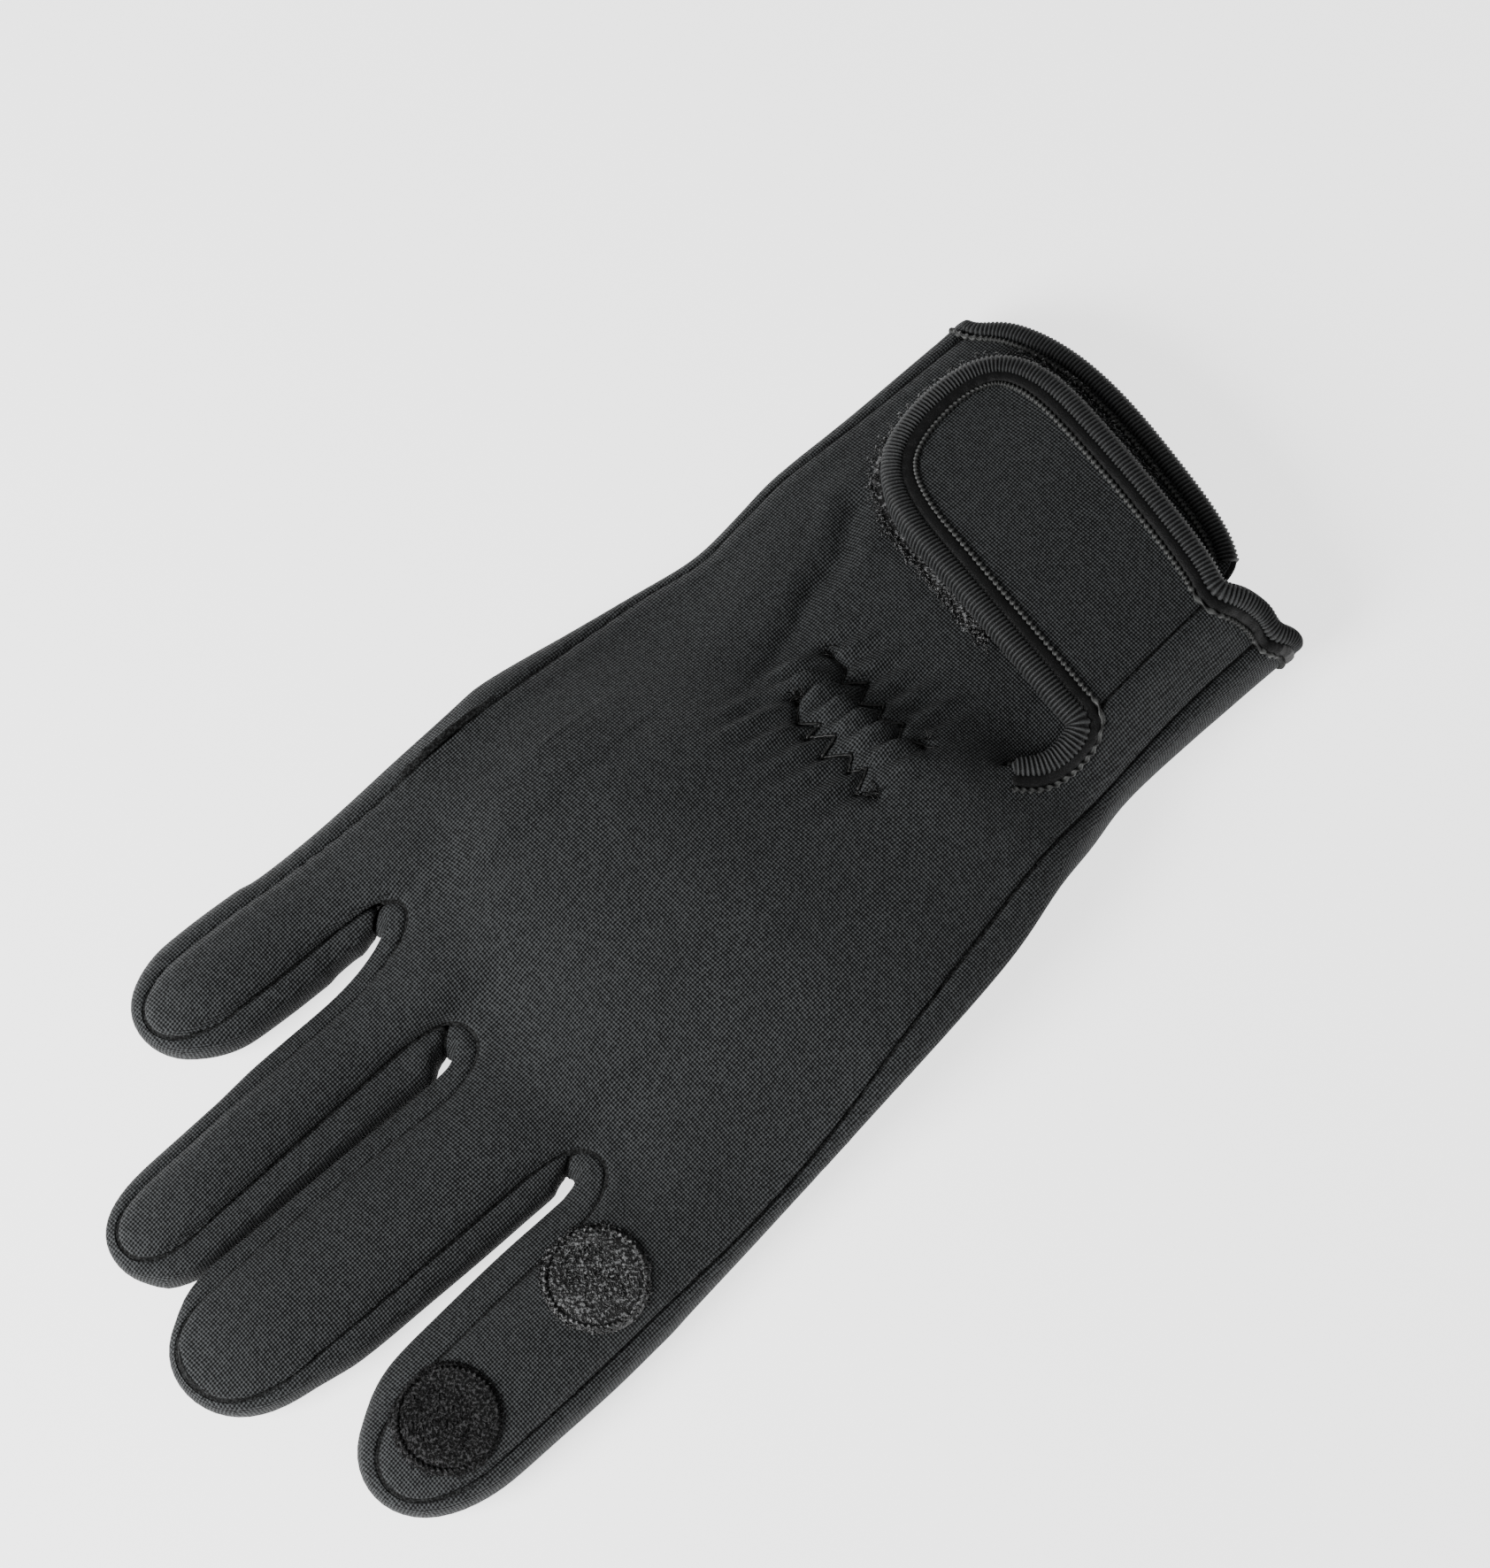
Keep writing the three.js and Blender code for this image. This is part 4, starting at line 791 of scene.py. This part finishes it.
def loop_route(loop, spacing):
    """Route once round a closed edge line."""
    line = [place for place, _ in loop]
    tree = tree_of(line)
    if (line[0] - line[-1]).length < 3 * MM:
        line.append(line[0])
    places = relax(even(line, spacing * MM), 2)
    return Route(places, [loop[tree.find(place)[1]][1] for place in places])


# The two side corners of the cuff, in mm, where its tape turns sharply and is drawn tight
CORNERS = [Vector((44, -124, 9)), Vector((-51.5, -119, 10))]
CORNER_DRAW = 0.42
CORNER_REACH = 7

# Shade of a tape or thread that has no ribs
PLAIN_RIB = 0.2


def sweep(route, around, shape, pitch=0, round_end=0.0, middle=(1.0, -1.2), draw=0.0):
    """Skin through one section at each station; shape gives inward and upward mm for a share round it."""
    stations = len(route.frames)
    made = bmesh.new()
    bmesh.ops.create_grid(made, x_segments=around, y_segments=stations - 1, size=0.5)
    rib = made.verts.layers.float_vector.new("rib")
    for vertex in made.verts:
        share = vertex.co.x + 0.5
        k = round((vertex.co.y + 0.5) * (stations - 1))
        place, inward, up = route.frames[k]
        length = k * route.spacing
        across, height = shape(share % 1.0, length)
        shrink = 1 - draw * max(bell((place / MM - corner).length, CORNER_REACH) for corner in CORNERS)
        from_end = (stations - 1) * route.spacing - length
        if from_end < round_end:
            shrink *= math.sqrt(1 - (1 - from_end / round_end) ** 2)
        across = middle[0] + (across - middle[0]) * shrink
        height = middle[1] + (height - middle[1]) * shrink
        vertex.co = place + (inward * across + up * height) * MM
        # The rib attribute holds the phase of the ribs or of the twist, which the tape and thread finishes
        # paint as highlight and shade; pieces without a pitch get PLAIN_RIB
        vertex[rib] = (0.5 + 0.5 * math.cos(TURN * length / pitch) if pitch else PLAIN_RIB, 0, 0)
    bmesh.ops.remove_doubles(made, verts=made.verts, dist=1e-7)
    bmesh.ops.holes_fill(made, edges=[edge for edge in made.edges if edge.is_boundary], sides=0)
    bmesh.ops.recalc_face_normals(made, faces=made.faces)
    return mesh_of(made, "swept")


def along_line(points, share):
    """Point at a share of the length of a line of corners."""
    lengths = [0.0]
    for a, b in zip(points, points[1:]):
        lengths.append(lengths[-1] + math.dist(a, b))
    goal = share * lengths[-1]
    for k, (a, b) in enumerate(zip(points, points[1:])):
        if goal <= lengths[k + 1] or k + 2 == len(points):
            f = (goal - lengths[k]) / (lengths[k + 1] - lengths[k])
            return a[0] + (b[0] - a[0]) * f, a[1] + (b[1] - a[1]) * f


RIB_PITCH = 0.86
RIB_DEPTH = 0.22
RIB_STEPS = 5
RIBBED_SHARE = 0.72
BAND_SIDES = 30

# Section of the ribbed band round a cut edge, from its lower flange over the fold to its upper flange
BAND = [(3.0, -3.1), (1.2, -3.75), (-0.4, -3.7), (-1.15, -2.9), (-1.35, -1.3), (-1.25, 0.3),
        (-0.6, 1.15), (0.7, 1.4), (2.0, 1.3), (2.6, 0.75), (2.7, -0.1), (2.6, -0.3),
        (1.0, -0.4), (0.2, -1.2), (1.0, -2.4)]


def band_shape(share, length):
    across, height = along_line(BAND + BAND[:1], share)
    outward = Vector((across - 1.0, height + 1.2)).normalized()
    rib = RIB_DEPTH * math.cos(TURN * length / RIB_PITCH) * (1 if share < RIBBED_SHARE else 0)
    return across + outward.x * rib, height + outward.y * rib


# Half width and half thickness of the flat tape inside the band, and its slow wave
TAPE_SIDES = 10
TAPE_HALF = (1.25, 0.42)
TAPE_MIDDLE = (0.0, 0.2)
TAPE_WAVE = 0.05
WAVE_PITCH = 3.1


def tape_shape(share, length):
    turn = TURN * share
    wave = TAPE_WAVE * math.sin(TURN * length / WAVE_PITCH)
    return TAPE_HALF[0] * math.cos(turn), TAPE_MIDDLE[1] + wave + TAPE_HALF[1] * math.sin(turn)


TWIST_PITCH = 1.1


def stitch_shape(offset, height, width=0.66, thickness=0.34):
    """Two-ply stitch that lies along the tape: an oval section that turns as it goes."""
    def shape(share, length):
        turn = TURN * share
        lean = math.pi * length / TWIST_PITCH
        a, b = width * math.cos(turn), thickness * math.sin(turn)
        return (offset + a * math.cos(lean) - b * math.sin(lean),
                height + a * math.sin(lean) + b * math.cos(lean))
    return shape


# Rough lines in mm that the tapes follow: from the cuff's corner round the tab, and round the cuff under it
STRAP_GUIDE = [(-50, -119, 7), (-52, -119, 10), (-51, -118, 15), (-48, -117, 18), (-43, -115, 22),
               (-36, -112, 28), (-29, -112.5, 29), (-6, -117, 30), (17, -120, 27), (28, -118, 25),
               (32, -109, 24), (31.5, -92, 24), (26, -83, 25), (16, -79, 27), (-6, -75, 29),
               (-29, -72, 28), (-36, -70, 27), (-36, -64, 25), (-34, -59, 25), (-30, -54, 26)]
CUFF_GUIDE = [(-34, -118, 22), (-13, -124, 23), (7, -128, 22), (22, -129, 20), (32, -127, 16),
              (40, -123, 13), (44, -125, 8), (42, -125, 5), (35, -126, 3), (17, -128, 2),
              (-12, -126, 2), (-39, -120, 3), (-47, -119, 5), (-50, -119, 7)]

# The sheets whose edges count for each tape, each up to an x in mm; ANY is past them all
ANY = 99
STRAP_SHEETS = {"wrist_strap": ANY, "back_panel": -31, "gusset_index": ANY}
CUFF_SHEETS = dict.fromkeys(("back_panel", "gusset_pinky", "palm_panel", "gusset_index"), ANY)
strap_route = edge_route(STRAP_GUIDE, STRAP_SHEETS, RIB_PITCH / RIB_STEPS, rounding=16)
cuff_route = edge_route(CUFF_GUIDE, CUFF_SHEETS, RIB_PITCH / RIB_STEPS, rounding=30)
band = sweep(strap_route, BAND_SIDES, band_shape, RIB_PITCH, 2.2, draw=CORNER_DRAW)
add_piece("strap_edge_band", band, "binding", "binding", "strap_binding")

# Inside the band round the tab, a flat tape and a row of stitches lie on these pieces
STRAP_SKINS = ("strap_shell", "back_shell", "index_side_strip")
TAPE_INSET = 3.7
STITCH_INSET = 5.4
STITCH_SIDES = 8
tape_route = inner_route(strap_route, TAPE_INSET, STRAP_SKINS)
stitch_route = inner_route(strap_route, STITCH_INSET, STRAP_SKINS)
strap_tape = sweep(tape_route, TAPE_SIDES, tape_shape, 0, 2.0, TAPE_MIDDLE)
add_piece("strap_edge_tape", strap_tape, "binding", "binding")
strap_stitch = sweep(stitch_route, STITCH_SIDES, stitch_shape(0, 0.2), TWIST_PITCH)
add_piece("strap_edge_stitch", strap_stitch, "thread", "binding")
cuff_band = sweep(cuff_route, BAND_SIDES, band_shape, RIB_PITCH, draw=CORNER_DRAW)
add_piece("cuff_edge_band", cuff_band, "binding", "binding", "cuff_binding")
cuff_stitch = sweep(cuff_route, STITCH_SIDES, stitch_shape(3.6, 0.5), TWIST_PITCH)
add_piece("cuff_edge_stitch", cuff_stitch, "thread", "binding")


# Sunk threads that close the seams between the sheets; their dark colour is painted shade of the seam
# grooves
def seam_shape(share, length):
    turn = TURN * share
    return 0.1 + 0.95 * math.cos(turn), -1.05 + 0.42 * math.sin(turn)


SEAMED = (
    "back_panel",
    "palm_panel",
    "thumb_back",
    "wrist_strap",
    "gusset_ring",
    "gusset_middle",
    "gusset_index",
)
SEAM_STEP = 0.6
THREAD_SIDES = 7
for node in SEAMED:
    for k, loop in enumerate(LOOPS[node]):
        seam = sweep(loop_route(loop, SEAM_STEP), THREAD_SIDES, seam_shape)
        add_piece(f"{node}_seam_thread_{k + 1}", seam, "seam_shade_thread", "neoprene")


def copies(template, places):
    """Many small copies of one shape in one mesh."""
    count = len(template.vertices)
    points = np.empty(count * 3)
    template.vertices.foreach_get("co", points)
    points = points.reshape(-1, 3)
    faces = [tuple(face.vertices) for face in template.polygons]
    verts, polygons = [], []
    for k, matrix in enumerate(places):
        turn = np.array(matrix)
        verts.append(points @ turn[:3, :3].T + turn[:3, 3])
        polygons.extend(tuple(v + k * count for v in face) for face in faces)
    mesh = bpy.data.meshes.new("copies")
    mesh.from_pydata(np.concatenate(verts).tolist(), [], polygons)
    mesh.update()
    return mesh


def bent_fibre(thickness, radius, turn, steps=5, sides=4):
    """Short fibre bent over in an arc, with its foot at the origin. Lengths in mm."""
    made = bmesh.new()
    ring = bmesh.ops.create_circle(made, cap_ends=False, radius=thickness * MM, segments=sides)["verts"]
    bmesh.ops.translate(made, verts=ring, vec=(radius * MM, 0, 0))
    edges = list(made.edges)
    bmesh.ops.spin(
        made,
        geom=ring + edges,
        cent=(0, 0, 0),
        axis=(0, -1, 0),
        angle=math.radians(turn),
        steps=steps,
        use_duplicate=False,
    )
    bmesh.ops.translate(made, verts=made.verts, vec=(-radius * MM, 0, 0))
    return mesh_of(made, "fibre")


def standing(place, up, turn, lean, size):
    """Matrix that stands a shape on a surface."""
    upright = Matrix.Translation(place) @ up.to_track_quat("Z", "Y").to_matrix().to_4x4()
    return upright @ Euler((lean, 0, turn)).to_matrix().to_4x4() @ Matrix.Scale(size, 4)


# Fibres to the square mm of a disc, how deep their feet sit in mm, and how flat the tape has to be there
PILE_DENSITY = 3.0
PILE_INSET = 0.3
LEAST_UP = 0.3
CLEAR = 10 * MM


def pile(node, fibre, finish):
    """Pile of fibres over the top of a disc."""
    surface = surface_of(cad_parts[node].data)
    (low, high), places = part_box(node), []
    for _ in range(int((high[0] - low[0]) * (high[1] - low[1]) / MM**2 * PILE_DENSITY)):
        x, y = random.uniform(low[0], high[0]), random.uniform(low[1], high[1])
        place, normal, _, _ = surface.ray_cast(Vector((x, y, high[2] + CLEAR)), -UP)
        if place is not None and normal.z > LEAST_UP:
            lean = random.uniform(-0.7, 0.7)
            foot = place - normal * PILE_INSET * MM
            places.append(standing(foot, normal, random.uniform(0, TURN), lean, random.uniform(0.7, 1.25)))
    add_piece(node + "_pile", copies(fibre, places), finish, finish)


# Height in metres over the whole glove
ABOVE = 0.2


def drop(surface, x, y):
    """Place and way up of a surface where a plumb line from above meets it."""
    return surface.ray_cast(Vector((x, y, ABOVE)), -UP)[:2]


RING_RADIUS = 9.0
RING_STEPS = 240


def disc_ring(node):
    """Route round the top of a disc, for its stitches."""
    surface = surface_of(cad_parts[node].data)
    low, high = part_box(node)
    middle = (Vector(low) + Vector(high)) / 2
    radius = RING_RADIUS * MM
    turns = [TURN * k / RING_STEPS for k in range(RING_STEPS + 1)]
    spots = [drop(surface, middle.x + radius * math.cos(t), middle.y + radius * math.sin(t)) for t in turns]
    return Route(*zip(*spots))


# Thickness and radius of each fibre in mm, and how far round it bends in degrees
HOOK = bent_fibre(0.13, 0.34, 165)
LOOP = bent_fibre(0.07, 0.42, 250)
RING_STITCH = stitch_shape(0, 0.25, 0.6, 0.26)
DISCS = {"index_hook_disc": "hook_tape", "index_loop_disc": "loop_tape",
         "thumb_hook_disc": "hook_tape", "thumb_loop_disc": "loop_tape"}
for node, finish in DISCS.items():
    add_piece(node + "_tape", sew(node, roll=0.1, ripple=0.05), finish, finish, node)
    if node.startswith("index"):
        pile(node, HOOK if finish == "hook_tape" else LOOP, finish)
        ring = sweep(disc_ring(node), THREAD_SIDES, RING_STITCH, TWIST_PITCH)
        add_piece(node + "_stitch_ring", ring, finish, finish)


# The discs of the index finger follow its back, DISC_LIFT mm over it
back_surface = surface_of(bpy.data.objects["back_shell"].data)
DISC_LIFT = 0.55
GROUND_REACH = 1.6


def ground(spot):
    """Height of the back near a place, evened over a few points round it."""
    found = []
    for across, along in ((0, 0), (1, 0), (-1, 0), (0, 1), (0, -1)):
        x, y = spot.x + across * GROUND_REACH * MM, spot.y + along * GROUND_REACH * MM
        place = drop(back_surface, x, y)[0]
        if place is not None:
            found.append(place.z)
    return sum(found) / len(found) if found else back_surface.find_nearest(spot)[0].z


def lay_on_back(node, piece):
    """Bends a disc's piece so that the disc follows the back of the finger."""
    top = surface_of(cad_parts[node].data)
    for vertex in piece.data.vertices:
        above = drop(top, vertex.co.x, vertex.co.y)[0] or top.find_nearest(vertex.co)[0]
        vertex.co.z += ground(vertex.co) + DISC_LIFT * MM - above.z


for node in ("index_hook_disc", "index_loop_disc"):
    for part in ("_tape", "_pile", "_stitch_ring"):
        lay_on_back(node, bpy.data.objects[node + part])


# The patches under the tab, and the edges of the slit across the index finger's front
SMALL_SHEETS = (
    ("strap_hook_patch", "strap_hook_tape", 2, "hook_tape", "hook_tape"),
    ("back_loop_patch", "back_loop_tape", 2, "loop_tape", "loop_tape"),
    ("index_slit_welt_1", "index_slit_edge_1", 1, "neoprene", "binding"),
    ("index_slit_welt_2", "index_slit_edge_2", 1, "neoprene", "binding"),
)
for node, title, levels, finish, slot in SMALL_SHEETS:
    add_piece(title, sew(node, levels, roll=0.2, ripple=0.05), finish, slot, node)


# Hooks that show round the edge of the tab's hook tape
HOOKS_PER_POINT = 14
FRINGE_REACH = (-1.3, 2.0)


def add_fringe():
    places = []
    for place, _, inward in RIMS["strap_hook_patch"]:
        for _ in range(HOOKS_PER_POINT):
            jitter = Vector([random.uniform(-1, 1) for _ in range(3)])
            spot = place + inward * random.uniform(*FRINGE_REACH) * MM
            spot += Vector((jitter.x * 0.5, jitter.y * 0.5, jitter.z * 0.25 - 0.1)) * MM
            up = (UP + jitter * 0.5).normalized()
            places.append(standing(spot, up, random.uniform(0, TURN), jitter.x, random.uniform(0.8, 1.4)))
    add_piece("strap_hook_fringe", copies(HOOK, places), "hook_tape", "hook_tape")


add_fringe()


# Stitched threads of the gathers, and the loose ends where they stop
THREAD_RADIUS = 0.32
THREAD_STEP = 0.45
LOOSE_FIBRES = 12


def thread_shape(share, length):
    turn = TURN * share
    return THREAD_RADIUS * math.cos(turn), 0.14 + THREAD_RADIUS * math.sin(turn)


def add_threads():
    loose = []
    for k, zigzag in enumerate(ZIGZAGS):
        corners = [Vector((x, y, 0)) for x, y in zigzag]
        spots = [drop(back_surface, point.x * MM, point.y * MM) for point in even(corners, THREAD_STEP)]
        thread = sweep(Route(*zip(*spots)), 6, thread_shape)
        add_piece(f"gather_thread_{k + 1}", thread, "thread", "neoprene")
        loose += [zigzag[0], zigzag[-1]]
    fibre = bent_fibre(0.12, 1.5, 100, 7)
    places = []
    for x, y in loose:
        for _ in range(LOOSE_FIBRES):
            across, along = x + random.uniform(-1, 1), y + random.uniform(-1, 1)
            place, normal = drop(back_surface, across * MM, along * MM)
            turn, lean, size = random.uniform(0, TURN), random.uniform(-0.9, 0.9), random.uniform(0.6, 1.3)
            places.append(standing(place, normal, turn, lean, size))
    add_piece("loose_threads", copies(fibre, places), "thread", "neoprene")


add_threads()


# Floor and soft studio light: each lamp's name, place and size in metres, and power in watts
FLOOR_HALF = 3
WHITE = (1, 1, 1, 1)
WORLD_STRENGTH = 0.26
LAMPS = (("key_light", (0.12, 0.65, 0.52), 0.4, 12.5), ("fill_light", (-0.45, 0.1, 0.9), 0.9, 0.8))


def add_stage():
    made = bmesh.new()
    bmesh.ops.create_grid(made, x_segments=1, y_segments=1, size=FLOOR_HALF)
    floor = add_object("floor", mesh_of(made, "floor"))
    glow = {"Emission_Color": WHITE, "Emission_Strength": 2.0}
    pale = Finish("pale_floor", 0.9, Base_Color=(0.95, 0.95, 0.95, 1), **glow)
    floor.data.materials.append(pale.material)
    world = bpy.data.worlds.new("studio")
    world.use_nodes = True
    background = world.node_tree.nodes["Background"]
    background.inputs["Color"].default_value = WHITE
    background.inputs["Strength"].default_value = WORLD_STRENGTH
    bpy.context.scene.world = world
    for name, place, size, power in LAMPS:
        data = bpy.data.lights.new(name, "AREA")
        data.size = size
        data.energy = power
        lamp = add_object(name, data)
        lamp.location = place
        look_at(lamp, Vector())


add_stage()
